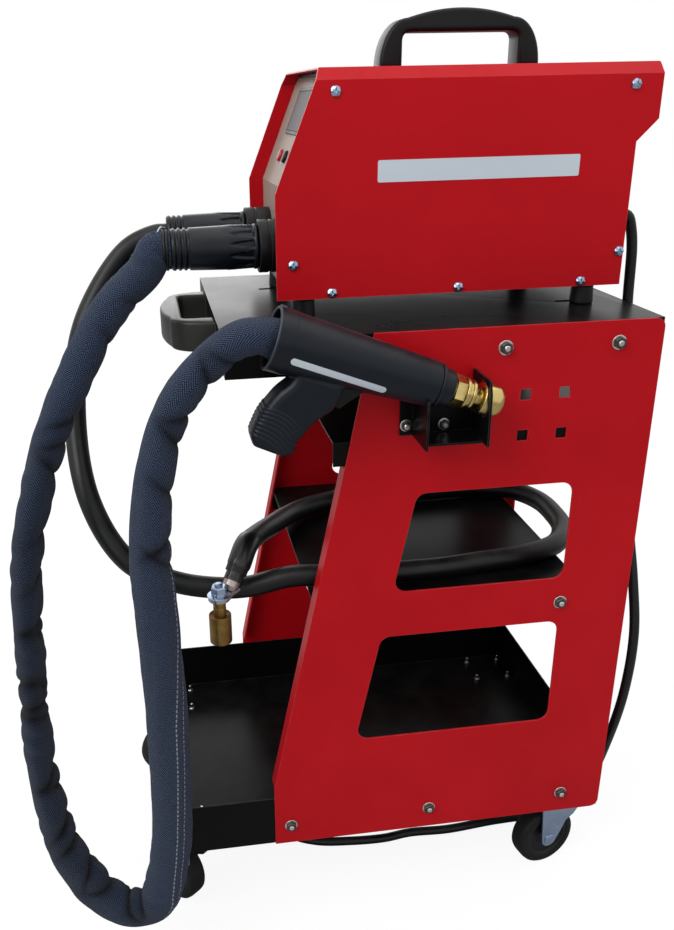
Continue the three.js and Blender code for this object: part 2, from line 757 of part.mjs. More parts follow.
function buildTransformer() {
  const barFoot = socketHeight - barHeight / 2;
  const barOuter = socketSpread + barThickness / 2;
  const barInner = socketSpread - barThickness / 2;
  const windowEdge = barOuter + barClearance;
  const windingEdge = barInner - barClearance;
  const coreBack = coreAt + coreDepth;
  const coreFoot = floorTop + seat;
  const yoke = [coreFoot + coreLeg, coreFoot + coreHeight - coreLeg];
  const core = block([-windowEdge - coreLeg, windowEdge + coreLeg], [coreAt, coreBack],
    [coreFoot, coreFoot + coreHeight]);
  const windows = [-1, 1].map((side) => {
    const edges = [side * coreLeg, side * windowEdge].sort((a, b) => a - b);
    return block(edges, [coreAt - overrun, coreBack + overrun], yoke);
  });
  add('transformer_core', cut(core, ...windows), steel, welder);

  const windingRise = [yoke[0] + seat, yoke[1] - seat];
  const overhang = [coreAt - windingOverhang, coreBack + windingOverhang];
  const corner = windingEdge - coreLeg;
  const wound = slab('xy', outline([
    [-windingEdge, overhang[0], corner], [windingEdge, overhang[0], corner],
    [windingEdge, overhang[1], corner], [-windingEdge, overhang[1], corner],
  ]), windingRise);
  const legHole = block([-coreLeg - seat, coreLeg + seat], [coreAt - seat, coreBack + seat],
    [windingRise[0] - overrun, windingRise[1] + overrun]);
  add('primary_winding', cut(wound, legHole), copper, welder);

  const barFront = studEnd + seat;
  const barBack = overhang[1] + barClearance;
  const strap = slab('xy', outline([
    [-barOuter, barFront], [-barInner, barFront], [-barInner, barBack], [barInner, barBack],
    [barInner, barFront], [barOuter, barFront], [barOuter, barBack + barThickness],
    [-barOuter, barBack + barThickness],
  ]), [barFoot, barFoot + barHeight]);
  add('secondary_bar', strap, copper, welder);
}

// Rear panel with its grille, fan, switch and cord gland
const fanHeight = caseHeight - fanDrop;
const rearPanelFace = caseDepth - rearPanelInset - innerPanelSheet;
const rearPanelBack = rearPanelFace + innerPanelSheet;
const rockerPivot = rearPanelBack - rocker.depth / 2;

function buildRearPanel() {
  const section = caseSection(caseSheet + seat, innerPanelFoot);
  const sheet = slab('xz', section, [rearPanelFace, rearPanelBack]);
  const past = [rearPanelFace - overrun, rearPanelBack + overrun];
  const thick = [rearPanelFace, rearPanelBack];
  const opening = rod('y', fanOpening, past, fineSides).translate(0, 0, fanHeight);
  const reach = fanOpening + seat;
  const spokes = [
    block([-reach, reach], thick, [fanHeight - grilleBar / 2, fanHeight + grilleBar / 2]),
    block([-grilleBar / 2, grilleBar / 2], thick, [fanHeight - reach, fanHeight + reach]),
  ];
  const spindle = turned('y', [
    [rearPanelBack, 0], [rearPanelBack, grilleHub], [rearPanelFace, grilleHub],
    [rearPanelFace, spindleRadius], [rearPanelFace - fanLength, spindleRadius],
    [rearPanelFace - fanLength, 0],
  ]).translate(0, 0, fanHeight);
  const reachZ = Math.hypot(rocker.halfHeight, rocker.bulge) + runningGap;
  const [inX, outX] = [rocker.width / 2 + seat, rocker.width / 2 + seat + cradleWall];
  const cradle = block([rockerX - outX, rockerX + outX], [rearPanelBack - cradleDepth, rearPanelBack],
    [rockerHeight - reachZ - cradleWall, rockerHeight + reachZ + cradleWall]);
  const well = block([rockerX - inX, rockerX + inX], [past[0] - cradleDepth, past[1]],
    [rockerHeight - reachZ, rockerHeight + reachZ]);
  const pinHole = rod('x', rocker.pin + seat, [-outX - overrun, outX + overrun], smallSides)
    .translate(rockerX, rockerPivot, rockerHeight);
  const cordHole = rod('y', glandNose.rootRadius + seat, past).translate(glandX, 0, glandHeight);
  const panel = join(cut(sheet, opening), ...spokes, spindle, cradle);
  add('rear_panel', cut(panel, well, pinHole, cordHole), greyFace, welder);
}

function buildFan() {
  const hubEnd = rearPanelFace - seat;
  const hubStart = rearPanelFace - fanLength;
  const hub = rod('y', fanHub, [hubStart, hubEnd]);
  const middle = (hubStart + hubEnd) / 2;
  const blades = [];
  for (let i = 0; i < fanBlades; i += 1) {
    const blade = block([fanHub / 2, fanRadius], [-fanBladeSheet / 2, fanBladeSheet / 2],
      [-fanBladeChord / 2, fanBladeChord / 2]);
    blade.rotateX(fanBladePitch).rotateY(2 * Math.PI * i / fanBlades).translate(0, middle, 0);
    blades.push(blade);
  }
  const bore = rod('y', spindleRadius + seat, [hubStart - overrun, hubEnd + overrun]);
  add('cooling_fan', cut(join(hub, ...blades), bore), navyPlastic, welder).position.z = fanHeight;
}

function buildRocker() {
  const [half, back] = [rocker.halfHeight, rocker.depth / 2];
  const body = slab('yz', outline([
    [-back, -half * rockerWaistShare], [rocker.bulge, -half], [rocker.bulge - seat, 0], [rocker.bulge, half],
    [-back, half * rockerWaistShare],
  ]), [-rocker.width / 2, rocker.width / 2]);
  const pinEnd = rocker.width / 2 + seat + cradleWall;
  const pin = rod('x', rocker.pin, [-pinEnd, pinEnd], smallSides);
  const button = add('power_switch', join(body, pin), redPlastic, welder);
  button.position.set(rockerX, rockerPivot, rockerHeight);
  button.rotation.x = -rocker.tilt;
}

// The cord leaves the gland along this direction
const glandWay = new THREE.Vector3(0, Math.cos(glandDroop), -Math.sin(glandDroop));

function buildGland() {
  const flangeStart = rearPanelBack + seat;
  const flange = turned('y', [
    [rearPanelFace, 0], [rearPanelFace, glandNose.rootRadius], [flangeStart, glandNose.rootRadius],
    [flangeStart, glandFlange.radius], [flangeStart + glandFlange.thickness, glandFlange.radius],
    [flangeStart + glandFlange.thickness, 0],
  ]);
  const nose = turned('y', [
    [0, 0], [0, glandNose.rootRadius], [glandFlange.thickness, glandNose.rootRadius],
    [glandNose.length + glandFlange.thickness, glandNose.tipRadius],
    [glandNose.length + glandFlange.thickness, 0],
  ]).rotateX(-glandDroop).translate(0, flangeStart, 0);
  const base = block([-glandFlange.radius, glandFlange.radius], [0, flangeStart],
    [-glandFlange.radius, glandFlange.radius]);
  add('cord_gland', join(flange, cut(nose, base)), blackRubber, welder).position.set(glandX, 0, glandHeight);
}

function buildLegs() {
  for (const [end, along] of [['front', legInset], ['rear', caseDepth - legInset]]) {
    for (const [side, way] of [['left', 1], ['right', -1]]) {
      const leg = rod('z', legRadius, [seat - legHeight, -seat]);
      add(`${end}_${side}_leg`, leg, blackRubber, welder).position.set(way * legSpread, along, 0);
    }
  }
}

// Pulling gun, in its own frame: Y along the barrel from the tail, Z up
const gunX = panelOuter + gunTailRadius + gunPanelGap;
const gunTail = new THREE.Vector3(gunX, panelTopFront - gunTailProud, topShelfHeight + gunTailRise);
const gun = groupAt(...gunTail);
gun.rotation.x = -gunSlope;
const noseStart = gunBodyLength + seat;
const chuckStart = noseStart + noseLength + seat;
const nozzleStart = chuckStart + chuckLength + seat;
const gripFront = gunBodyLength * gripFrontShare;
const gripHeel = gunBodyLength * gripHeelShare;
const gripRoot = -gunTailRadius * gripRootShare;
const triggerTop = -gunTailRadius + triggerHeight / 3;
const triggerStart = gripFront;
const triggerFoot = triggerTop - triggerHeight;

function gunRadiusAt(along) {
  return THREE.MathUtils.mapLinear(along, 0, gunBodyLength, gunTailRadius, gunBodyRadius);
}

function gripShape(inset) {
  const back = gunBodyLength * gripBackShare + inset;
  const toe = -gripToeDepth + inset;
  const fillet = gripFillet;
  return outline([
    [gripFront - inset, gripRoot], [back, gripRoot], [-gripToeBack + inset, toe, fillet],
    [gripHeel - inset, toe - gripFillet * 2, fillet], [gripFront - inset, triggerFoot, fillet],
  ]);
}

function buildGunShells() {
  const barrel = turned('y', [
    [0, 0], [0, gunTailRadius], [gunBodyLength, gunBodyRadius], [gunBodyLength, 0]], fineSides);
  const half = gripThickness / 2;
  const grip = slab('yz', gripShape(0), [-half, half], 3);
  const hollowBarrel = turned('y', [
    [gunWall, 0], [gunWall, gunTailRadius - gunWall], [gunBodyLength - gunWall, gunBodyRadius - gunWall],
    [gunBodyLength - gunWall, 0]], roundSides);
  const hollowGrip = slab('yz', gripShape(gunWall), [gunWall - half, half - gunWall], 2);
  const ends = rod('y', conductorRadius + seat, [-overrun, gunBodyLength + overrun], smallSides);
  const slotHalf = triggerWidth / 2 + runningGap;
  const slot = block([-slotHalf, slotHalf],
    [triggerStart - triggerRoot - triggerTravel - runningGap, triggerStart + triggerLength + runningGap],
    [triggerFoot - runningGap, triggerTop + runningGap]);
  const body = cut(join(barrel, grip), hollowBarrel, hollowGrip, ends, slot);
  const reach = gunTailRadius + overrun;
  const along = [-gunTailRadius - overrun, gunBodyLength + overrun];
  const up = [-gunTailRadius - gripToeDepth - overrun, reach];
  add('gun_left_shell', common(body, block([seat / 2, reach], along, up)), navyPlastic, gun);
  add('gun_right_shell', common(body, block([-reach, -seat / 2], along, up)), navyPlastic, gun);
}

function buildGunParts() {
  add('gun_conductor', rod('y', conductorRadius, [0, noseStart + noseLength], smallSides), copper, gun);
  const nose = turned('y', [
    [noseStart, conductorRadius + seat], [noseStart, noseRadius], [noseStart + noseLength, noseRadius],
    [noseStart + noseLength, conductorRadius + seat], [noseStart, conductorRadius + seat],
  ], fineSides);
  add('gun_nose', nose, navyPlastic, gun);
  const chuckEnd = chuckStart + chuckLength;
  const chuck = turned('y', [
    [chuckStart, 0], [chuckStart, chuckRadius], [chuckEnd - chuckLength / 4, chuckRadius],
    [chuckEnd, nozzleStem + seat + shelfSheet], [chuckEnd, nozzleStem + seat],
    [chuckEnd - chuckLength / 2, nozzleStem + seat], [chuckEnd - chuckLength / 2, 0],
  ], fineSides);
  add('gun_chuck', chuck, brass, gun);
  const neckEnd = nozzleStart + nozzleNeck;
  const nozzle = turned('y', [
    [chuckEnd - chuckLength / 2 + seat, 0], [chuckEnd - chuckLength / 2 + seat, nozzleStem],
    [neckEnd, nozzleStem], [neckEnd, nozzleRadius], [neckEnd + nozzleLength, nozzleRadius],
    [neckEnd + nozzleLength, 0],
  ], fineSides);
  add('gun_nozzle', nozzle, brass, gun);

  const halfWidth = triggerWidth / 2;
  const shape = outline([
    [triggerStart - triggerRoot, triggerTop], [triggerStart - triggerRoot, triggerFoot],
    [triggerStart + triggerLength / 2, triggerFoot, triggerFillet],
    [triggerStart + triggerLength, triggerTop],
  ]);
  add('gun_trigger', slab('yz', shape, [-halfWidth, halfWidth], 3), redPlastic, gun);

  const switchEnd = triggerStart - triggerRoot - triggerTravel - runningGap - seat;
  const switchHalf = gripThickness / 2 - gunWall - seat;
  const switchBox = block([-switchHalf, switchHalf], [switchEnd - triggerSwitch.length, switchEnd],
    [triggerFoot, triggerFoot + triggerSwitch.height]);
  add('trigger_switch', switchBox, blackRubber, gun);
}

// Where the gun's axis passes, at a distance along it
const gunWay = new THREE.Vector3(0, Math.cos(gunSlope), -Math.sin(gunSlope));

function gunAxisAt(along) {
  return gunTail.clone().addScaledVector(gunWay, along);
}

function buildHolder() {
  const saddle = gunAxisAt(saddleAt);
  const ring = gunAxisAt(ringAt);
  const inner = panelOuter + seat;
  const outer = gunX + ringRadius + ringMargin;
  const foot = ring.z - holderDrop;
  const top = saddle.z + holderTopMargin;
  const sheet = holderSheet;
  const base = slab('yz', outline([
    [saddle.y - holderLead, foot], [ring.y + sheet, foot], [ring.y + sheet, ring.z],
    [saddle.y, top], [saddle.y - holderLead, top],
  ]), [inner, inner + sheet]);
  const floor = block([inner, outer - holderLead], [saddle.y, ring.y], [foot, foot + sheet]);
  const front = block([inner, outer], [saddle.y, saddle.y + sheet], [foot, saddle.z - saddleDrop]);
  const back = slab('xz', outline([
    [inner, foot], [outer, foot], [outer, ring.z + ringRadius / 2],
    [outer - ringMargin, ring.z + ringRadius + ringMargin], [inner, ring.z + ringRadius + ringMargin],
  ]), [ring.y, ring.y + sheet]);
  const along = [saddleAt - overrun * 2, saddleAt + overrun * 2];
  const barrel = turned('y', [
    [along[0], 0], [along[0], gunRadiusAt(along[0]) + seat], [along[1], gunRadiusAt(along[1]) + seat],
    [along[1], 0]], fineSides);
  const hole = rod('y', ringRadius, [ringAt - overrun * 2, ringAt + overrun * 2], fineSides);
  const tools = [barrel, hole].map((tool) => tool.rotateX(-gunSlope).translate(...gunTail));
  add('gun_holder', cut(join(base, floor, front, back), ...tools), blackPaint);
}

// Leads: their routes are points on the centre line

function onWelder(x, y, z) {
  return new THREE.Vector3(x, y + caseFront, z + caseFoot);
}

// The straight first stretch of a lead, square to the face that it leaves
function straightEnd(face, way, length) {
  return [0, 0.5, 1].map((share) => face.clone().addScaledVector(way, share * length).toArray());
}

const forward = new THREE.Vector3(0, -1, 0);
const lugFlat = new THREE.Vector3(-Math.sin(lugHeading), Math.cos(lugHeading), 0);
const lugWay = lugFlat.clone().multiplyScalar(Math.cos(lugRise)).setZ(Math.sin(lugRise));
const lugBarrelLift = lugSize.barrel * Math.cos(lugRise) - lugSize.thickness / 2 + seat;
const lugMouth = new THREE.Vector3(lugAt.x, lugAt.y, lugAt.z + lugBarrelLift)
  .addScaledVector(lugFlat, lugSize.tongue)
  .addScaledVector(lugWay, lugSize.barrelLength + seat);

function buildHose() {
  const start = onWelder(socketSpread, plugFace - plugLength - seat, socketHeight);
  const points = [
    ...straightEnd(start, forward, hoseStraight),
    [60, -219, 719], [80, -254, 688], [105, -302, 611], [125, -332, 541], [145, -350, 468],
    [165, -357, 350], [185, -356, 243], [200, -335, 145], [209, -290, 88],
    [212, -258, 92], [210, -238, 150], [207, -232, 219], [204, -230, 316], [201, -231, 405],
    [198, -233, 488], [195, -222, 572], [192, -201, 628], [190, -170, 663], [190, -141, 681],
    ...straightEnd(gunAxisAt(-seat), gunWay.clone().negate(), hoseStraight).reverse(),
  ];
  add('gun_hose', tube(route(points), hoseDiameter, sleeveSides, hoseSteps), denim);
}

function buildGroundCable() {
  const start = onWelder(-socketSpread, plugFace - plugLength - seat, socketHeight);
  const points = [
    ...straightEnd(start, forward, groundStraight),
    [-51, -236, 722], [-30, -285, 655], [0, -302, 579], [60, -293, 489], [93, -258, 432],
    [98, -212, 407], [102, -171, 398], [104, -138, 397],
    [109, -92, 407.5], [114, -52, 408], [118, 19, 407], [118, 64, 407], [112, 111, 407],
    [104, 165, 407], [86, 205, 407], [50, 229, 407], [12, 236, 407], [-32, 234, 407],
    [-66, 215, 407], [-83, 175, 407], [-84, 110, 407], [-84, 50, 407], [-78, -10, 407.5],
    [-60, -48, 409], [-28, -76, 414],
    [25, -101, 428], [70, -123, 439], [98, -137, 442],
    ...straightEnd(lugMouth, lugWay, groundStraight).reverse(),
  ];
  add('ground_cable', tube(route(points), groundDiameter, cordSides, groundSteps), blackRubber);
}

// The bolt joins the lug, its washer and the electrode below; the lug's barrel points along Y
function buildGroundClamp() {
  const clamp = groupAt(lugAt.x, lugAt.y, lugAt.z);
  clamp.rotation.z = lugHeading;
  const half = lugSize.thickness / 2;
  const eye = rod('z', lugSize.radius, [-half, half]);
  const tongueEnd = lugSize.tongue + lugSize.barrel * Math.sin(lugRise) + seat;
  const tongue = block([-lugSize.barrel, lugSize.barrel], [0, tongueEnd], [-half, half]);
  const hole = rod('z', lugSize.boltHole, [-overrun, overrun], smallSides);
  const barrel = rod('y', lugSize.barrel, [0, lugSize.barrelLength])
    .rotateX(lugRise).translate(0, lugSize.tongue, lugBarrelLift);
  add('ground_lug', join(cut(join(eye, tongue), hole), barrel), copper, clamp);

  const headFoot = half + seat + boltSize.washerThickness;
  const shankEnd = seat - boltSize.shankLength;
  const bolt = turned('z', [
    [shankEnd, 0], [shankEnd, boltSize.shank], [half + seat, boltSize.shank],
    [half + seat, boltSize.washer], [headFoot, boltSize.washer], [headFoot, 0],
  ]);
  const head = rod('z', boltSize.head, [headFoot - seat, headFoot + boltSize.headHeight], hexSides);
  add('lug_bolt', join(bolt, head), zinc, clamp);

  const top = -half - seat;
  const shoulder = top - electrode.stubLength;
  const foot = shoulder - electrode.length;
  const body = turned('z', [
    [top, electrode.hole], [top, electrode.stub], [shoulder, electrode.stub], [shoulder, electrode.radius],
    [foot, electrode.radius], [foot, 0], [top - electrode.holeDepth, 0],
    [top - electrode.holeDepth, electrode.hole], [top, electrode.hole],
  ]);
  add('ground_electrode', body, brass, clamp);
}

// Power cord: free stretch, coil and plug
const floorLine = cordDiameter / 2 + floorGap;
const layerRise = turnPitch;
const coilEntry = { x: coilCentre.x + coilEntryLead + seat, y: coilCentre.y - coilRadius };

class CoilPath extends THREE.Curve {
  constructor() {
    super();
    this.turnLength = 2 * Math.PI * (coilRadius - turnPitch * cordTurns / 4) * cordTurns;
    this.whole = this.turnLength + coilEntryLead + coilExitLead;
  }

  getPoint(t, target = new THREE.Vector3()) {
    const along = t * this.whole - coilEntryLead;
    const turns = THREE.MathUtils.clamp(along / this.turnLength, 0, 1) * cordTurns;
    const radius = coilRadius - turnPitch * Math.min(turns, cordTurns - turns);
    const climb = THREE.MathUtils.smoothstep(
      turns, (cordTurns - climbTurns) / 2, (cordTurns + climbTurns) / 2);
    const angle = -Math.PI / 2 - 2 * Math.PI * turns;
    const straight = along - THREE.MathUtils.clamp(along, 0, this.turnLength);
    return target.set(coilCentre.x + radius * Math.cos(angle) - straight,
      coilCentre.y + radius * Math.sin(angle), floorLine + layerRise * climb);
  }
}

// Least gap between turns, measured on points a quarter turn or more apart
function leastCoilGap(path) {
  const count = cordTurns * gapSamplesPerTurn;
  const points = path.getSpacedPoints(count);
  const apart = Math.round(count / cordTurns / 4);
  let least = Infinity;
  for (let i = 0; i < points.length; i += 1) {
    for (let j = i + apart; j < points.length; j += 1) {
      least = Math.min(least, points[i].distanceTo(points[j]));
    }
  }
  return least - cordDiameter;
}

function buildCord() {
  const tip = new THREE.Vector3(glandX, rearPanelBack + seat, glandHeight)
    .addScaledVector(glandWay, glandNose.length + glandFlange.thickness + seat);
  const start = onWelder(...tip);
  const points = [
    ...straightEnd(start, glandWay, cordDiameter),
    [70, 257, 740], [70.5, 260, 722], [72, 262, 668], [85, 265, 560], [118, 270, 440],
    [138, 272, 384], [150, 275, 325], [146, 276, 245], [126, 275, 158],
    [103, 274, 90], [82, 266, 35], [69, 240, 8], [66, 215, floorLine], [67, 170, floorLine],
    [72, 108, floorLine], [70, 59, floorLine], [74, 25, floorLine], [72, -18, floorLine],
    [65, -60, floorLine], [48, -90, floorLine], [20, -103, floorLine],
    [coilEntry.x, coilEntry.y, floorLine],
  ];
  add('power_cord', tube(route(points), cordDiameter, cordSides, cordSteps), blackRubber);

  const path = new CoilPath();
  const steps = Math.round(cordTurns * coilStepsPerTurn);
  add('power_cord_coil', tube(path, cordDiameter, coilSides, steps), blackRubber);
  console.log('least gap between the turns of the cord, mm:', leastCoilGap(path).toFixed(2));
}

function buildPowerPlug() {
  const end = new CoilPath().getPoint(1);
  const start = [0, powerPlug.tailLength, powerPlug.tailLength + powerPlug.length];
  const body = turned('x', [
    [start[0], 0], [start[0], powerPlug.tail], [start[1], powerPlug.tailEnd],
    [start[1] + powerPlug.tail, powerPlug.radius], [start[2], powerPlug.radius], [start[2], 0],
  ], fineSides);
  const pins = [-1, 1].map((side) => rod('x', powerPin.radius, [start[1], start[2] + powerPin.length],
    smallSides).translate(0, side * powerPin.spread, 0));
  const plug = join(body, ...pins).rotateZ(Math.PI);
  add('power_plug', plug, blackRubber).position.set(end.x - seat, end.y, end.z);
}

// Assembly

buildTray();
buildTopShelf();
buildOpenShelf('second_shelf', secondShelfHeight, secondShelfLip,
  panelFrontAt(secondShelfHeight) - secondShelfProud, rear - panelSheet - seat);
buildOpenShelf('middle_shelf', middleShelfHeight, middleShelfLip,
  panelFrontAt(middleShelfHeight) + panelSheet + seat, rear - middleShelfSetback);
buildSidePanel('left_side_panel', 1);
buildSidePanel('right_side_panel', -1);

const pushHandle = handleSolid().rotateX(Math.PI);
add('push_handle', pushHandle, navyPlastic)
  .position.set(0, rear - topShelfDepth - seat, topShelfHeight - pushHandleDrop);
const carryHandle = handleSolid().applyMatrix4(planeTurns.yz);
add('carry_handle', carryHandle, navyPlastic, welder).position.set(0, carryHandleAt, caseHeight + seat);

const casterX = panelOuter - casterInsetX;
const casterY = rear - casterInsetY;
const casterHeadings = [
  ['front_left_caster', casterX, -casterY, -0.87], ['front_right_caster', -casterX, -casterY, 0.5],
  ['rear_left_caster', casterX, casterY, 0.25], ['rear_right_caster', -casterX, casterY, 0.2],
];
for (const [name, x, y, heading] of casterHeadings) buildCaster(name, x, y, heading);

buildCase();
buildFrontPanel();
buildControls();
buildSocket('gun_socket', socketSpread);
buildSocket('ground_socket', -socketSpread);
buildCablePlug('gun_cable_plug', socketSpread);
buildCablePlug('ground_cable_plug', -socketSpread);
buildTransformer();
buildRearPanel();
buildFan();
buildRocker();
buildGland();
buildLegs();
buildGunShells();
buildGunParts();
buildHolder();
buildHose();
buildGroundCable();
buildGroundClamp();
buildCord();
buildPowerPlug();

// Put the origin under the middle of everything but the leads
const leadNames = ['gun_hose', 'ground_cable', 'ground_lug', 'lug_bolt', 'ground_electrode',
  'power_cord', 'power_cord_coil', 'power_plug'];
const body = new THREE.Box3();
whole.updateMatrixWorld(true);
whole.traverse((item) => {
  if (item.isMesh && !leadNames.includes(item.name)) body.expandByObject(item, true);
});
const middle = body.getCenter(new THREE.Vector3());
whole.position.set(-middle.x, -middle.y, -body.min.z);
whole.updateMatrixWorld(true);

export default whole;
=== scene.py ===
"""Looks of a dent pulling spot welder on its steel cart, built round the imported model.

Sizes are in metres. Places are in the cart's own frame, whose origin is at floor height under
the middle of the tray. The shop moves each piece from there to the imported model's frame.
"""

from __future__ import annotations

import json
import logging
import sys
from dataclasses import dataclass
from enum import Enum
from math import atan2, cos, pi, radians, sin, sqrt, tan
from typing import Callable, Iterable, Sequence

import bmesh
import bpy
import numpy as np
from bpy.types import (
    ID, Material, Mesh, Node, NodeOutputs, NodeSocket, NodeTree, NodeTreeInterfaceSocket, Object,
    World)
from mathutils import Matrix, Vector

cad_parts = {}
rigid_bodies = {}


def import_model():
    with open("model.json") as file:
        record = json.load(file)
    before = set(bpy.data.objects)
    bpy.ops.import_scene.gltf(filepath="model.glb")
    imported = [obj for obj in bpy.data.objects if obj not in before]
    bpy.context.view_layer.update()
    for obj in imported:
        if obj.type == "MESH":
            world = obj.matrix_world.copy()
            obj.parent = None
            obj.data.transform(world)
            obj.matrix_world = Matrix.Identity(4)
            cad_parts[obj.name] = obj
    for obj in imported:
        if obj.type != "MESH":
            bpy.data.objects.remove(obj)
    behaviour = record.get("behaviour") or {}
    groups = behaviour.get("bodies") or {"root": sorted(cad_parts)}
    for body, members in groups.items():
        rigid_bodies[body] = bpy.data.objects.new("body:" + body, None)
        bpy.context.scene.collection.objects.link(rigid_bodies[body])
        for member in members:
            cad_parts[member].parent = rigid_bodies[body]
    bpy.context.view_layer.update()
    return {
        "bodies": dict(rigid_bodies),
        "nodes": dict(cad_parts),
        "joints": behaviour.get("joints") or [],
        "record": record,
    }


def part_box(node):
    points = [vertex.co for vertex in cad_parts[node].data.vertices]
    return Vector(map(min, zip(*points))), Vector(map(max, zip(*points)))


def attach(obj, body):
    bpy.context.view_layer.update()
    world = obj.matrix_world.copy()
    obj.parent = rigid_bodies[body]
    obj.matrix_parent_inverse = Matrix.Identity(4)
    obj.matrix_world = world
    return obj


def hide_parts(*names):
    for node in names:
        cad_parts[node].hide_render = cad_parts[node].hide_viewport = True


LOG = logging.getLogger("spot_welder")
LAY_MAP = "Lay"
# Name of the point attribute that holds the painted shade inside the sleeve's folds
FOLD_SHADE_ATTRIBUTE = "crease_shade"
# The gap left where one piece seats against another
SEAT = 0.0003

Colour = tuple[float, float, float, float]
Pair = tuple[float, float]
Place = tuple[float, float, float]
Reach = Callable[[np.ndarray, np.ndarray, np.ndarray], np.ndarray]
Shade = tuple[int, int, int]


def srgb(red: int, green: int, blue: int) -> Colour:
    """A display colour, with parts from 0 to 255, as the linear one that a shader takes.

    Args:
        red: Its red part.
        green: Its green part.
        blue: Its blue part.

    Returns:
        The linear colour.
    """
    parts = [value / 255 for value in (red, green, blue)]
    linear = [v / 12.92 if v <= 0.04045 else ((v + 0.055) / 1.055) ** 2.4 for v in parts]
    return (linear[0], linear[1], linear[2], 1.0)


# Turns from the lathe's own axis, +Z, to another axis
TO_Y = Matrix.Rotation(-pi / 2, 4, "X")
TO_X = Matrix.Rotation(pi / 2, 4, "Y")


def moved(x: float, y: float, z: float) -> Matrix:
    """A move by the given distances."""
    return Matrix.Translation((x, y, z))


def outward(side: int) -> Matrix:
    """The turn from +Z to +X for the near side, 1, and to -X for the far side, -1."""
    return TO_X if side > 0 else Matrix.Rotation(-pi / 2, 4, "Y")


def upright(x: float = 0.0, y: float = 0.0, z: float = 0.0) -> Matrix:
    """The frame of an outline that stands lengthwise: its X runs along Y, its Y goes up."""
    return Matrix(((0, 0, 1, x), (1, 0, 0, y), (0, 1, 0, z), (0, 0, 0, 1)))


def metres(*rows: Sequence[float]) -> tuple[tuple[float, ...], ...]:
    """Rows of millimetres as rows of metres."""
    return tuple(tuple(value / 1000 for value in row) for row in rows)


# Outlines and profiles


def rounded(corners: Sequence[Sequence[float]], steps: int = 4, closed: bool = True) -> list[Pair]:
    """An outline whose corners are rounded off.

    Args:
        corners: Each corner as (a, b) or (a, b, fillet radius).
        steps: Straight steps in each fillet.
        closed: Whether the last corner joins the first.

    Returns:
        The points of the outline, in order.
    """
    points: list[Pair] = []
    count = len(corners)
    for i, corner in enumerate(corners):
        here = Vector(corner[:2])
        fillet = corner[2] if len(corner) > 2 else 0.0
        inside = closed or 0 < i < count - 1
        if fillet <= 0 or not inside:
            points.append((here.x, here.y))
            continue
        back = (Vector(corners[i - 1][:2]) - here).normalized()
        ahead = (Vector(corners[(i + 1) % count][:2]) - here).normalized()
        half = back.angle(ahead) / 2
        reach = fillet / tan(half)
        centre = here + (back + ahead).normalized() * fillet / sin(half)
        start, end = here + back * reach - centre, here + ahead * reach - centre
        turn = start.angle_signed(end)
        for k in range(steps + 1):
            arm = start.copy()
            arm.rotate(Matrix.Rotation(-turn * k / steps, 2))
            points.append((centre.x + arm.x, centre.y + arm.y))
    return points


def bezier(*controls: Pair, steps: int = 12) -> list[Pair]:
    """Points on a Bezier curve of any degree, its end left out.

    Args:
        controls: The control points, from start to end.
        steps: How many points to give.

    Returns:
        The points, the first control point among them and the last one not.
    """
    found: list[Pair] = []
    for k in range(steps):
        level = [Vector(c) for c in controls]
        while len(level) > 1:
            level = [a.lerp(b, k / steps) for a, b in zip(level, level[1:])]
        found.append((level[0].x, level[0].y))
    return found


def circle(radius: float, steps: int, start: float = 0.0) -> list[Pair]:
    """The points of a circle or a regular polygon."""
    turns = [start + 2 * pi * k / steps for k in range(steps)]
    return [(radius * cos(a), radius * sin(a)) for a in turns]


def turning(*corners: Sequence[float]) -> list[Pair]:
    """A profile for the lathe, each corner as (along, radius) or (along, radius, fillet)."""
    return rounded(corners, closed=False)


def spindle(*corners: Sequence[float]) -> list[Pair]:
    """A profile for the lathe, closed off flat at both ends."""
    return turning((corners[0][0], 0.0), *corners, (corners[-1][0], 0.0))


def pane(low: Sequence[float], high: Sequence[float], fillet: float, steps: int) -> list[Pair]:
    """The outline of a rectangle between two corners, with its corners rounded."""
    return rounded([(low[0], low[1], fillet), (high[0], low[1], fillet),
                    (high[0], high[1], fillet), (low[0], high[1], fillet)], steps)


def bands(rows: int, sides: int) -> list[Sequence[int]]:
    """The faces between rows of points that each go once round."""
    return [(row + k, row + (k + 1) % sides, row + (k + 1) % sides + sides, row + k + sides)
            for row in range(0, (rows - 1) * sides, sides) for k in range(sides)]


# Solids


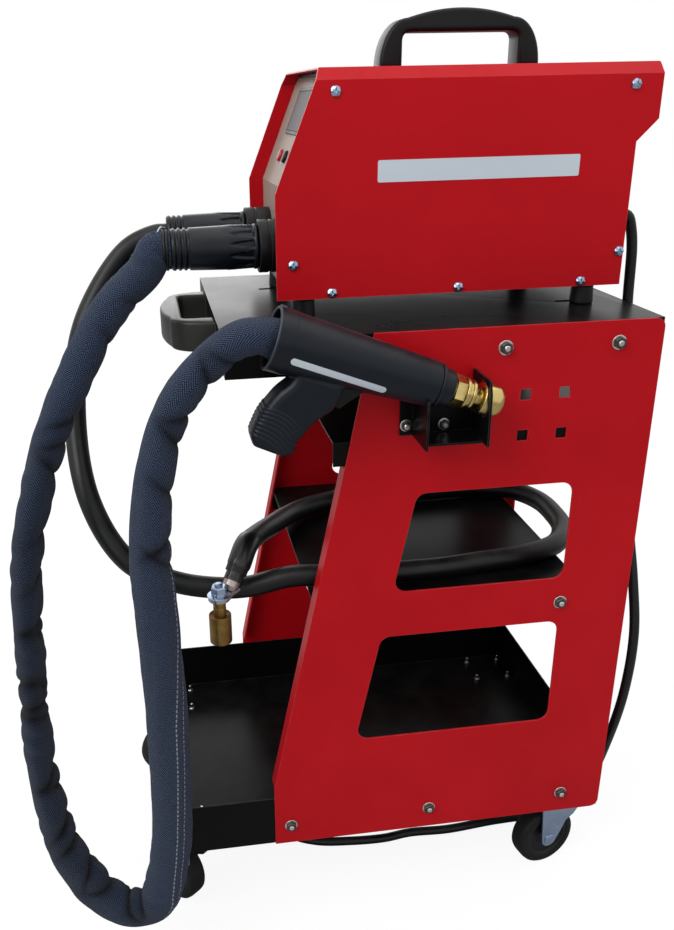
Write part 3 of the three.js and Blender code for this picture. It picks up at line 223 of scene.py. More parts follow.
class Solid:
    """A mesh that grows shape by shape, in metres."""

    def __init__(self) -> None:
        """Starts with nothing in it."""
        self.points: list[Sequence[float]] = []
        self.faces: list[tuple[int, ...]] = []

    def add(self, points: Iterable[Sequence[float]], faces: Iterable[Sequence[int]],
            place: Matrix = Matrix()) -> Solid:
        """Adds a shape: its points, its faces as indices of them, and its place.

        Args:
            points: Its points.
            faces: Its faces, as indices of the points.
            place: Its frame.

        Returns:
            The solid itself.
        """
        first = len(self.points)
        self.points.extend(place @ Vector(p) for p in points)
        self.faces.extend(tuple(first + i for i in face) for face in faces)
        return self

    def lathe(self, profile: Sequence[Pair], place: Matrix = Matrix(), sides: int = 48,
              shape: Callable[[float, float], float] | None = None) -> Solid:
        """Turns a profile round +Z.

        Args:
            profile: Points (distance along the axis, radius) from one end to the other.
            place: Where the turned shape goes.
            sides: Steps round the axis.
            shape: Gives a change of the radius for an angle and a distance along the axis.

        Returns:
            This solid.
        """
        points = []
        for along, radius in profile:
            for k in range(sides):
                angle = 2 * pi * k / sides
                reach = radius + (shape(angle, along) if shape and radius > 0 else 0.0)
                points.append((reach * cos(angle), reach * sin(angle), along))
        return self.add(points, bands(len(profile), sides), place)

    def prism(self, outline: Sequence[Pair], low: float, high: float, place: Matrix = Matrix(),
              edge: float = 0.0) -> Solid:
        """Stands an outline up along +Z, with an optional rounded rim at both ends.

        Args:
            outline: Points of the outline, in order.
            low: Height of the foot.
            high: Height of the top.
            place: Where the prism goes.
            edge: Size of the rounded rim.

        Returns:
            This solid.
        """
        made = bmesh.new()
        foot = made.faces.new([made.verts.new((a, b, low)) for a, b in outline])
        lifted = bmesh.ops.extrude_face_region(made, geom=[foot])["geom"]
        for vert in (v for v in lifted if isinstance(v, bmesh.types.BMVert)):
            vert.co.z = high
        bmesh.ops.recalc_face_normals(made, faces=made.faces)
        if edge > 0:
            rim = [e for e in made.edges if abs(e.verts[0].co.z - e.verts[1].co.z) < 1e-9]
            bmesh.ops.bevel(made, geom=rim, offset=edge, segments=3, profile=0.5, affect="EDGES")
        made.verts.index_update()
        self.add([v.co for v in made.verts], [[v.index for v in f.verts] for f in made.faces],
                 place)
        made.free()
        return self

    def box(self, low: Place, high: Place, edge: float = 0.0, place: Matrix = Matrix()) -> Solid:
        """Adds a block with softened edges between two corners."""
        return self.prism(pane(low, high, edge, 3), low[2], high[2], place, edge)

    def sweep(self, line: np.ndarray, sides: int, radius: Reach,
              first: Place | np.ndarray = (0.0, 0.0, 1.0)) -> Solid:
        """Draws a closed tube along a line.

        Args:
            line: The points of the centre line.
            sides: Steps round the tube.
            radius: Gives the radius for arrays of distance along the line, of angle, and of how
                sharply the line bends towards each point.
            first: Direction near which the angle is zero, at the start or for each point.

        Returns:
            This solid.
        """
        ring, bend = around(line, sides, first)
        reach = radius(distances(line)[:, None], angles(sides), bend)
        reach = np.broadcast_to(reach, (len(line), sides))
        points = (line[:, None, :] + reach[..., None] * ring).reshape(-1, 3)
        last = (len(line) - 1) * sides
        ends = [tuple(range(sides - 1, -1, -1)), tuple(range(last, last + sides))]
        return self.add(points.tolist(), bands(len(line), sides) + ends)

    def object(self, name: str, sharp: float = 38.0) -> Object:
        """Makes the mesh object, with edges past an angle in degrees shaded sharp.

        Args:
            name: Its name.
            sharp: Angle in degrees past which an edge stays sharp.

        Returns:
            The object.
        """
        mesh = bpy.data.meshes.new(name)
        mesh.from_pydata([tuple(p) for p in self.points], [], self.faces)
        return finished_object(name, welded(mesh), sharp)


def welded(mesh: Mesh) -> Mesh:
    """The mesh with its double points joined and its faces turned outwards.

    Args:
        mesh: The mesh.

    Returns:
        The same mesh.
    """
    made = bmesh.new()
    made.from_mesh(mesh)
    bmesh.ops.remove_doubles(made, verts=made.verts, dist=1e-6)
    bmesh.ops.recalc_face_normals(made, faces=made.faces)
    made.to_mesh(mesh)
    made.free()
    return mesh


def linked(name: str, data: ID) -> Object:
    """A new object in the scene.

    Args:
        name: Its name.
        data: Its mesh, lamp or camera.

    Returns:
        The object.
    """
    piece = bpy.data.objects.new(name, data)
    bpy.context.scene.collection.objects.link(piece)
    return piece


def finished_object(name: str, mesh: Mesh, sharp: float = 38.0) -> Object:
    """Puts a mesh in the scene as an object that is shaded smooth between sharp edges.

    Args:
        name: Its name.
        mesh: The mesh.
        sharp: Angle in degrees past which an edge stays sharp.

    Returns:
        The object.
    """
    mesh.shade_smooth()
    mesh.set_sharp_from_angle(angle=radians(sharp))
    return linked(name, mesh)


def plate(name: str, outline: Sequence[Pair], thickness: float, place: Matrix,
          holes: Iterable[Sequence[Pair]] = (), edge: float = 0.0005) -> Object:
    """A flat plate with holes and rounded rims, lying in XY round its middle plane.

    Args:
        name: The piece's name.
        outline: Points of the rim.
        thickness: The plate's thickness.
        place: Where the plate goes.
        holes: Points of each hole's rim.
        edge: Radius of the rims.

    Returns:
        The new object.
    """
    curve = bpy.data.curves.new(name, "CURVE")
    curve.dimensions, curve.fill_mode = "2D", "BOTH"
    curve.extrude, curve.bevel_depth = thickness / 2 - edge, edge
    curve.bevel_resolution, curve.offset = 3, -edge
    for loop in (outline, *holes):
        spline = curve.splines.new("POLY")
        spline.points.add(len(loop) - 1)
        for point, (a, b) in zip(spline.points, loop):
            point.co = (a, b, 0.0, 1.0)
        spline.use_cyclic_u = True
    holder = bpy.data.objects.new(name, curve)
    mesh = bpy.data.meshes.new_from_object(holder)
    bpy.data.objects.remove(holder)
    bpy.data.curves.remove(curve)
    welded(mesh).transform(place)
    return finished_object(name, mesh)


def melted(name: str, solid: Solid, voxel: float, rounds: int) -> Object:
    """Flows overlapping shapes into one skin.

    Args:
        name: The piece's name.
        solid: The overlapping shapes.
        voxel: Size of the remeshing grid.
        rounds: Rounds of smoothing.

    Returns:
        The new object.
    """
    rough = solid.object(name + "_rough")
    grid = rough.modifiers.new("grid", "REMESH")
    grid.mode, grid.voxel_size = "VOXEL", voxel
    soft = rough.modifiers.new("soft", "SMOOTH")
    soft.factor, soft.iterations = 0.5, rounds
    shown = rough.evaluated_get(bpy.context.evaluated_depsgraph_get())
    mesh = bpy.data.meshes.new_from_object(shown)
    old = rough.data
    bpy.data.objects.remove(rough)
    bpy.data.meshes.remove(old)
    mesh.name = name
    return finished_object(name, mesh, 60.0)


# Lines


def distances(line: np.ndarray) -> np.ndarray:
    """How far along the line each of its points is."""
    return np.concatenate([[0.0], np.cumsum(np.linalg.norm(np.diff(line, axis=0), axis=1))])


def angles(sides: int) -> np.ndarray:
    """The angles of the steps round a tube, as one row."""
    return np.linspace(0, 2 * np.pi, sides, endpoint=False)[None, :]


def eased(share: np.ndarray) -> np.ndarray:
    """A share from 0 to 1 that sets out and arrives softly."""
    return share * share * (3 - 2 * share)


def around(line: np.ndarray, sides: int, first: Place | np.ndarray
           ) -> tuple[np.ndarray, np.ndarray]:
    """The ways out from a line.

    Args:
        line: The points of the line.
        sides: Steps round it.
        first: Direction near which the angle is zero, at the start or for each point.

    Returns:
        The direction for each point and step, and how sharply the line bends towards it.
    """
    side, up = carried_frames(line, first)
    angle = angles(sides)[..., None]
    ring = np.cos(angle) * side[:, None, :] + np.sin(angle) * up[:, None, :]
    return ring, np.einsum("nsk,nk->ns", ring, bending(line))


def bending(line: np.ndarray) -> np.ndarray:
    """The direction in which the line bends at each of its points, by how much per metre.

    Args:
        line: The points of the line.

    Returns:
        The bend at each point.
    """
    along = distances(line)
    way = np.gradient(line, along, axis=0)
    way /= np.linalg.norm(way, axis=1)[:, None]
    bent = np.gradient(way, along, axis=0)
    weights = np.hanning(9)[:, None] / np.hanning(9).sum()
    padded = np.pad(bent, ((4, 4), (0, 0)), mode="edge")
    return sum(weights[k] * padded[k:k + len(line)] for k in range(9))


def evened(line: np.ndarray, step: float) -> np.ndarray:
    """The line again, with its points about a step apart.

    Args:
        line: The points of the line.
        step: Distance from point to point.

    Returns:
        The new line.
    """
    along = distances(line)
    at = np.linspace(0, along[-1], max(3, round(along[-1] / step) + 1))
    return np.stack([np.interp(at, along, line[:, k]) for k in range(3)], axis=1)


def smooth_route(points: Sequence[Place], step: float) -> np.ndarray:
    """A smooth line through points: the centripetal Catmull-Rom curve.

    Args:
        points: The places that the line goes through.
        step: Distance between the points that are given back.

    Returns:
        The points of the line, one row each.
    """
    given = np.array(points, float)
    ends = (2 * given[:1] - given[1:2], given, 2 * given[-1:] - given[-2:-1])
    whole = np.concatenate(ends)
    found = []
    share = np.linspace(0, 1, 24, endpoint=False)[:, None]
    for i in range(len(given) - 1):
        before, start, end, after = whole[i:i + 4]
        gaps = [max(np.linalg.norm(b - a), 1e-9) ** 0.5
                for a, b in ((before, start), (start, end), (end, after))]
        leave = ((start - before) / gaps[0] - (end - before) / (gaps[0] + gaps[1])
                 + (end - start) / gaps[1]) * gaps[1]
        arrive = ((end - start) / gaps[1] - (after - start) / (gaps[1] + gaps[2])
                  + (after - end) / gaps[2]) * gaps[1]
        found.append(start + leave * share + (3 * (end - start) - 2 * leave - arrive) * share ** 2
                     + (2 * (start - end) + leave + arrive) * share ** 3)
    found.append(given[-1:])
    return evened(np.concatenate(found), step)


def carried_frames(line: np.ndarray, first: Place | np.ndarray) -> tuple[np.ndarray, np.ndarray]:
    """Two directions across a line.

    Args:
        line: The points of the line.
        first: Direction near which the first of the two starts and from which it is carried
            along without twist, or a direction for each point.

    Returns:
        The two unit directions for each point.
    """
    way = np.gradient(line, axis=0)
    way /= np.linalg.norm(way, axis=1)[:, None]
    if np.ndim(first) == 2:
        side = first - way * np.einsum("nk,nk->n", first, way)[:, None]
        side /= np.linalg.norm(side, axis=1)[:, None]
        return side, np.cross(way, side)
    side = np.zeros_like(line)
    current = np.array(first, float)
    for i, ahead in enumerate(way):
        current = current - ahead * current.dot(ahead)
        current /= np.linalg.norm(current)
        side[i] = current
    return side, np.cross(way, side)


def coil_line(step: float) -> np.ndarray:
    """The centre line of the wound mains lead, from its entry to the plug.

    Args:
        step: Distance from point to point.

    Returns:
        The points of the line.
    """
    turn_length = 2 * pi * (COIL.radius - COIL.pitch * COIL.turns / 4) * COIL.turns
    whole = turn_length + COIL.entry_lead + COIL.exit_lead
    along = np.linspace(0, whole, 900) - COIL.entry_lead
    turns = np.clip(along / turn_length, 0, 1) * COIL.turns
    radius = COIL.radius - COIL.pitch * np.minimum(turns, COIL.turns - turns)
    rise = eased(np.clip((turns - (COIL.turns - COIL.climb) / 2) / COIL.climb, 0, 1))
    angle = -pi / 2 - 2 * pi * turns
    straight = along - np.clip(along, 0, turn_length)
    line = np.stack([COIL.x + radius * np.cos(angle) - straight,
                     COIL.y + radius * np.sin(angle), COIL.floor + COIL.pitch * rise], axis=1)
    return evened(line, step)


@dataclass(frozen=True)
class Coil:
    """How the unseen length of the mains lead is wound under the tray."""

    x: float = -0.025
    y: float = -0.033
    radius: float = 0.07
    pitch: float = 0.0113
    turns: float = 5.0
    climb: float = 0.5
    entry_lead: float = 0.014
    exit_lead: float = 0.062
    floor: float = 0.0056


COIL = Coil()


# Node graphs


class Graph:
    """A node tree with short calls for making and wiring its nodes."""

    def __init__(self, tree: NodeTree) -> None:
        """Takes the tree to work in."""
        self.tree = tree

    def add(self, kind: str, feeds: dict[str, object] | None = None, **settings: object) -> Node:
        """Adds a node.

        Args:
            kind: The node's type, without its leading ShaderNode.
            feeds: What each input takes: a value or another node's output.
            settings: The node's own properties.

        Returns:
            The new node.
        """
        node = self.tree.nodes.new("ShaderNode" + kind)
        for name, value in settings.items():
            setattr(node, name, value)
        for name, value in (feeds or {}).items():
            self.feed(node.inputs[name], value)
        return node

    def feed(self, socket: NodeSocket, value: object) -> None:
        """Sets an input to a value, or links another node's output to it.

        Args:
            socket: The input.
            value: A value or an output.
        """
        if isinstance(value, NodeSocket):
            self.tree.links.new(value, socket)
        else:
            socket.default_value = value

    def math(self, operation: str, *values: object) -> NodeSocket:
        """The result of a sum on values or outputs.

        Args:
            operation: The kind of sum.
            values: Values or outputs.

        Returns:
            The result's output.
        """
        node = self.add("Math", operation=operation)
        for socket, value in zip(node.inputs, values):
            self.feed(socket, value)
        return node.outputs[0]

    def times(self, first: object, second: object) -> NodeSocket:
        """Two values multiplied."""
        return self.math("MULTIPLY", first, second)

    def ranged(self, value: object, low: float, high: float, to_low: float = 0.0,
               to_high: float = 1.0) -> NodeSocket:
        """A value moved from one range to another and kept within it.

        Args:
            value: A value or an output.
            low: Lower end of the first range.
            high: Upper end of the first range.
            to_low: Lower end of the new range.
            to_high: Upper end of the new range.

        Returns:
            The result's output.
        """
        node = self.add("MapRange", {"Value": value, "From Min": low, "From Max": high,
                                     "To Min": to_low, "To Max": to_high})
        return node.outputs["Result"]

    def mix(self, mask: object, first: object, second: object) -> NodeSocket:
        """A colour between two outputs or display colours, by a mask.

        Args:
            mask: Share of the second colour.
            first: The first colour.
            second: The second colour.

        Returns:
            The result's output.
        """
        node = self.add("Mix", data_type="RGBA")
        for index, value in ((0, mask), (6, first), (7, second)):
            self.feed(node.inputs[index], srgb(*value) if isinstance(value, tuple) else value)
        return node.outputs[2]

    def where(self) -> NodeSocket:
        """The place on the object."""
        return self.add("TexCoord").outputs["Object"]

    def lay(self) -> NodeSocket:
        """The place on a lead's own map: girth and length in metres."""
        return self.add("UVMap", uv_map=LAY_MAP).outputs[0]

    def split(self, vector: NodeSocket) -> NodeOutputs:
        """The three parts of a vector."""
        return self.add("SeparateXYZ", {"Vector": vector}).outputs

    def noise(self, where: object, scale: object, detail: float, roughness: float = 0.5
              ) -> NodeSocket:
        """A cloudy value from 0 to 1.

        Args:
            where: Place on the surface.
            scale: Clouds to a metre.
            detail: Number of finer layers.
            roughness: Weight of the finer layers.

        Returns:
            The result's output.
        """
        return self.add(
            "TexNoise",
            {"Vector": where, "Scale": scale, "Detail": detail, "Roughness": roughness}).outputs[0]

    def bump(self, height: object, distance: object, strength: float = 1.0) -> NodeSocket:
        """A normal that follows a height."""
        return self.add(
            "Bump", {"Strength": strength, "Distance": distance, "Height": height}).outputs[0]

    def surface(self, shader: Node, colour: object, rough: object, normal: object = None) -> None:
        """Feeds a shader's colour, its roughness and, where there is one, its normal.

        Args:
            shader: The shader that it feeds.
            colour: The colour's output.
            rough: The roughness.
            normal: Output of the relief, if any.
        """
        for name, value in (("Base Color", colour), ("Roughness", rough), ("Normal", normal)):
            if value is not None:
                self.feed(shader.inputs[name], value)


def emptied(owner: Material | World) -> Graph:
    """The graph of a material or a world, with nothing in it.

    Args:
        owner: The material or world.

    Returns:
        The graph.
    """
    owner.use_nodes = True
    owner.node_tree.nodes.clear()
    return Graph(owner.node_tree)


class Effect(Enum):
    """The effects that several materials share."""

    GRAIN = "fine_grain"
    MOTTLE = "mottle"
    EDGE = "edge_wear_and_highlight"
    DUST = "settled_dust"
    BRUSH = "brushed_lines"
    SCUFF = "scuffs"
    TWILL = "twill_weave"


class Group(Graph):
    """The node group of an effect, with named inputs and outputs."""

    def __init__(self, effect: Effect, **inputs: float) -> None:
        """Makes the group and its inputs.

        Args:
            effect: Which effect.
            inputs: Each input's usual value.
        """
        super().__init__(bpy.data.node_groups.new(effect.value, "ShaderNodeTree"))
        for name, value in inputs.items():
            self.socket(name, "INPUT", "NodeSocketFloat").default_value = value
        self.given = self.tree.nodes.new("NodeGroupInput").outputs

    def socket(self, name: str, way: str, kind: str) -> NodeTreeInterfaceSocket:
        """Makes one of the group's sockets."""
        return self.tree.interface.new_socket(name, in_out=way, socket_type=kind)

    def done(self, **results: NodeSocket) -> NodeTree:
        """Makes and wires the group's outputs.

        Args:
            results: What each output gives.

        Returns:
            The finished group.
        """
        for name in results:
            self.socket(
                name, "OUTPUT", "NodeSocketVector" if name == "Normal" else "NodeSocketFloat")
        leave = self.tree.nodes.new("NodeGroupOutput")
        for name, value in results.items():
            self.feed(leave.inputs[name], value)
        return self.tree


class EffectLibrary:
    """Builds each effect's node group once and places it in materials."""

    def __init__(self) -> None:
        """Starts with no group built."""
        self.built: dict[Effect, NodeTree] = {}

    def place(self, graph: Graph, effect: Effect, **values: object) -> NodeOutputs:
        """Puts an effect into a material.

        Args:
            graph: The material's graph.
            effect: Which effect.
            values: What its inputs take.

        Returns:
            What the effect gives, by name.
        """
        if effect not in self.built:
            self.built[effect] = getattr(self, "make_" + effect.name.lower())()
        node = graph.add("Group", node_tree=self.built[effect])
        for name, value in values.items():
            graph.feed(node.inputs[name.capitalize()], value)
        return node.outputs

    def make_grain(self) -> NodeTree:
        """Fine bumps over the whole surface.

        Returns:
            The node group.
        """
        group = Group(Effect.GRAIN, Scale=800.0, Height=2e-5)
        grain = group.noise(group.where(), group.given["Scale"], 3.0)
        return group.done(Value=grain, Normal=group.bump(grain, group.given["Height"]))

    def make_mottle(self) -> NodeTree:
        """Slow changes from place to place, from 0 to 1.

        Returns:
            The node group.
        """
        group = Group(Effect.MOTTLE, Scale=8.0, Contrast=1.0)
        cloud = group.noise(group.where(), group.given["Scale"], 5.0, 0.6)
        contrast = group.times(group.given["Contrast"], 2.5)
        spread = group.math("MULTIPLY_ADD", group.math("SUBTRACT", cloud, 0.5), contrast, 0.5)
        return group.done(Value=group.ranged(spread, 0.0, 1.0))

    def make_edge(self) -> NodeTree:
        """A mask of the edges, broken up by noise.

        Returns:
            The node group.
        """
        group = Group(Effect.EDGE, Radius=0.0015, Breakup=60.0)
        bevel = group.add("Bevel", {"Radius": group.given["Radius"]}, samples=4)
        dot = group.add("VectorMath", operation="DOT_PRODUCT")
        group.feed(dot.inputs[0], bevel.outputs[0])
        group.feed(dot.inputs[1], group.add("NewGeometry").outputs["Normal"])
        bend = group.ranged(dot.outputs["Value"], 0.995, 0.8)
        broken = group.noise(group.where(), group.given["Breakup"], 4.0)
        return group.done(Mask=group.times(bend, group.ranged(broken, 0.35, 0.65, 0.25)))

    def make_dust(self) -> NodeTree:
        """A mask of dust on what faces up.

        Returns:
            The node group.
        """
        group = Group(Effect.DUST, Amount=0.3, Scale=30.0)
        up = group.ranged(group.split(group.add("NewGeometry").outputs["Normal"])["Z"], 0.4, 1.0)
        cloud = group.noise(group.where(), group.given["Scale"], 8.0, 0.7)
        lie = group.times(up, group.ranged(cloud, 0.4, 0.75))
        return group.done(Mask=group.times(lie, group.given["Amount"]))

    def make_brush(self) -> NodeTree:
        """Fine lines across X and Y, as on drawn or turned metal.

        Returns:
            The node group.
        """
        group = Group(Effect.BRUSH, Scale=300.0, Stretch=0.04, Height=1e-5)
        where = group.split(group.where())
        flat = [group.times(where[axis], group.given["Stretch"]) for axis in "XY"]
        joined = group.add("CombineXYZ", {"X": flat[0], "Y": flat[1], "Z": where["Z"]})
        lines = group.noise(joined.outputs[0], group.given["Scale"], 4.0)
        return group.done(Value=lines, Normal=group.bump(lines, group.given["Height"]))

    def make_scuff(self) -> NodeTree:
        """A mask of short rubbed marks.

        Returns:
            The node group.
        """
        group = Group(Effect.SCUFF, Scale=25.0, Amount=0.3)
        bent = group.add(
            "Mapping",
            {"Vector": group.where(), "Rotation": (0.5, 0.4, 0.9), "Scale": (1.0, 7.0, 1.5)})
        marks = group.noise(bent.outputs[0], group.given["Scale"], 9.0, 0.75)
        return group.done(Mask=group.times(group.ranged(marks, 0.6, 0.7), group.given["Amount"]))

    def make_twill(self) -> NodeTree:
        """The slanted ribs of a herringbone twill, which follow the cloth's own map.

        Returns:
            The node group.
        """
        group = Group(Effect.TWILL, Pitch=0.0016, Height=3e-4)
        stripe, slope, whole_turn = 0.0082, 0.8, 2 * pi
        pitch, lay = group.given["Pitch"], group.split(group.lay())
        fold = group.math("PINGPONG", lay["X"], stripe)
        slant = group.math("ADD", fold, group.times(lay["Y"], slope))
        rib = group.math("SINE", group.times(group.math("DIVIDE", slant, pitch), whole_turn))
        across = group.math("SUBTRACT", lay["Y"], group.times(fold, slope))
        steps = group.math("DIVIDE", across, group.times(pitch, slope))
        yarn = group.math("SINE", group.times(steps, whole_turn))
        spun = group.noise(group.lay(), 520.0, 3.0, 0.6)
        raised = group.math("MULTIPLY_ADD", yarn, 0.7, rib)
        height = group.math("MULTIPLY_ADD", spun, 0.8, raised)
        return group.done(
            Thread=group.ranged(raised, -0.5, 1.5), Fleck=group.ranged(spun, 0.5, 0.72),
            Normal=group.bump(height, group.given["Height"]))


EFFECTS = EffectLibrary()


# Finishes


@dataclass(frozen=True)
class Finish:
    """A moulded, painted or cast surface: two close colours, a grain, lighter edges that are
    partly worn and partly a painted highlight, and dust.
    """

    name: str
    slot: str
    colour: Shade
    second: Shade
    roughness: float = 0.5
    metallic: float = 0.0
    specular: float = 0.5
    grain_scale: float = 900.0
    grain_height: float = 1e-5
    mottle_scale: float = 7.0
    edge_colour: Shade = (230, 230, 230)
    edge_radius: float = 0.0
    dust: float = 0.0
    scuffs: float = 0.0

    def build(self) -> Material:
        """Makes the material.

        Returns:
            The new material.
        """
        material = bpy.data.materials.new(self.name)
        graph = emptied(material)
        shader = graph.add(
            "BsdfPrincipled", {"Metallic": self.metallic, "Specular IOR Level": self.specular,
                               "Coat Roughness": 0.06})
        graph.feed(graph.add("OutputMaterial").inputs["Surface"], shader.outputs[0])
        self.dress(graph, shader)
        return material

    def dress(self, graph: Graph, shader: Node) -> None:
        """Wires colour, roughness and relief to the shader.

        Args:
            graph: The material's graph.
            shader: The shader to feed.
        """
        mottle = EFFECTS.place(graph, Effect.MOTTLE, scale=self.mottle_scale)["Value"]
        colour = graph.mix(mottle, self.colour, self.second)
        rough = graph.ranged(
            mottle, 0.0, 1.0, self.roughness * 0.88, min(self.roughness * 1.12, 1.0))
        if self.scuffs > 0:
            marks = EFFECTS.place(graph, Effect.SCUFF, amount=self.scuffs)["Mask"]
            rough = graph.math("MULTIPLY_ADD", marks, 0.25, rough)
            colour = graph.mix(graph.times(marks, 0.25), colour, self.edge_colour)
        # Lighter edges: partly worn coating, partly a painted highlight along the rims
        if self.edge_radius > 0:
            edge = EFFECTS.place(graph, Effect.EDGE, radius=self.edge_radius)["Mask"]
            colour = graph.mix(graph.times(edge, 0.55), colour, self.edge_colour)
        if self.dust > 0:
            dust = EFFECTS.place(graph, Effect.DUST, amount=self.dust)["Mask"]
            colour = graph.mix(dust, colour, (150, 146, 140))
            rough = graph.math("MULTIPLY_ADD", dust, 0.5, rough)
        grain = EFFECTS.place(
            graph, Effect.GRAIN, scale=self.grain_scale, height=self.grain_height)
        graph.surface(shader, colour, rough, grain["Normal"])


@dataclass(frozen=True)
class DrawnMetal(Finish):
    """A metal with fine tool or rolling lines and a slight tarnish."""

    metallic: float = 1.0
    mottle_scale: float = 40.0
    line_scale: float = 350.0
    tarnish: float = 0.5

    def dress(self, graph: Graph, shader: Node) -> None:
        """Wires colour, roughness and relief to the shader.

        Args:
            graph: The material's graph.
            shader: The shader that it feeds.
        """
        lines = EFFECTS.place(
            graph, Effect.BRUSH, scale=self.line_scale, stretch=0.05, height=1.2e-5)
        mottle = EFFECTS.place(graph, Effect.MOTTLE, scale=self.mottle_scale)["Value"]
        colour = graph.mix(graph.times(mottle, self.tarnish), self.colour, self.second)
        colour = graph.mix(graph.ranged(lines["Value"], 0.3, 0.7, 0.0, 0.35), colour, self.second)
        rough = graph.math("MULTIPLY_ADD", mottle, 0.15, self.roughness)
        graph.surface(shader, colour, rough, lines["Normal"])


@dataclass(frozen=True)
class Denim(Finish):
    """Washed navy twill with light flecks, a stitched seam along the map's zero line and painted
    shade inside its folds.
    """

    pitch: float = 0.0022
    seam_half: float = 0.0042
    stitch: float = 0.0052
    hung_middle: float = 0.48

    def dress(self, graph: Graph, shader: Node) -> None:
        """Wires weave, wear, seam, stitches and the painted shade in the folds to the shader.

        Args:
            graph: The material's graph.
            shader: The shader that it feeds.
        """
        weave = EFFECTS.place(graph, Effect.TWILL, pitch=self.pitch, height=2.8e-4)
        fade = EFFECTS.place(graph, Effect.MOTTLE, scale=26.0, contrast=1.2)["Value"]
        colour = graph.mix(weave["Thread"], self.colour, self.second)
        colour = graph.mix(graph.times(weave["Fleck"], 0.1), colour, self.edge_colour)
        colour = graph.mix(graph.times(fade, 0.12), colour, (46, 56, 78))
        lay = graph.split(graph.lay())
        hung = graph.math("ABSOLUTE", graph.math("SUBTRACT", lay["Y"], self.hung_middle))
        colour = graph.mix(graph.ranged(hung, 0.16, 0.32, 0.42, 0.0), colour, self.colour)
        off = graph.math("ABSOLUTE", lay["X"])
        line = graph.math("ABSOLUTE", graph.math("SUBTRACT", off, self.seam_half))
        near = graph.ranged(line, 0.0003, 0.0009, 1.0, 0.0)
        beat = graph.math("FRACT", graph.math("DIVIDE", lay["Y"], self.stitch))
        sewn = graph.times(near, graph.math("LESS_THAN", beat, 0.66))
        colour = graph.mix(graph.times(sewn, 0.8), colour, (176, 178, 184))
        # Painted shade: the cloth darkens to near black where it lies deep in a fold, in place of
        # the shadow there
        crease_shade = graph.add("Attribute", attribute_name=FOLD_SHADE_ATTRIBUTE).outputs["Fac"]
        colour = graph.mix(graph.times(crease_shade, 0.92), colour, (3, 4, 8))
        rough = graph.ranged(weave["Thread"], 0.0, 1.0, 0.95, 0.78)
        graph.surface(shader, colour, rough, weave["Normal"])
        shader.inputs["Sheen Weight"].default_value = 0.1
        shader.inputs["Sheen Roughness"].default_value = 0.5


@dataclass(frozen=True)
class DarkWindow(Finish):
    """A smoked window over an unlit display."""

    def dress(self, graph: Graph, shader: Node) -> None:
        """Wires a faint tint and clear gloss to the shader.

        Args:
            graph: The material's graph.
            shader: The shader that it feeds.
        """
        mottle = EFFECTS.place(graph, Effect.MOTTLE, scale=30.0)["Value"]
        marks = EFFECTS.place(graph, Effect.SCUFF, scale=40.0, amount=0.4)["Mask"]
        graph.surface(shader, graph.mix(mottle, self.colour, self.second),
                      graph.math("MULTIPLY_ADD", marks, 0.3, self.roughness))


@dataclass(frozen=True)
class Laminated(Finish):
    """Stacked core sheets or wound wire: even lines across one axis."""

    pitch: float = 0.0012
    axis: str = "Y"

    def dress(self, graph: Graph, shader: Node) -> None:
        """Wires the layers to the shader.

        Args:
            graph: The material's graph.
            shader: The shader that it feeds.
        """
        where = graph.split(graph.where())[self.axis]
        layer = graph.math("SINE", graph.times(where, 2 * pi / self.pitch))
        colour = graph.mix(graph.ranged(layer, -1.0, 1.0), self.colour, self.second)
        rough = graph.ranged(layer, -1.0, 1.0, 0.6, self.roughness)
        graph.surface(shader, colour, rough, graph.bump(layer, self.pitch / 3, 0.7))


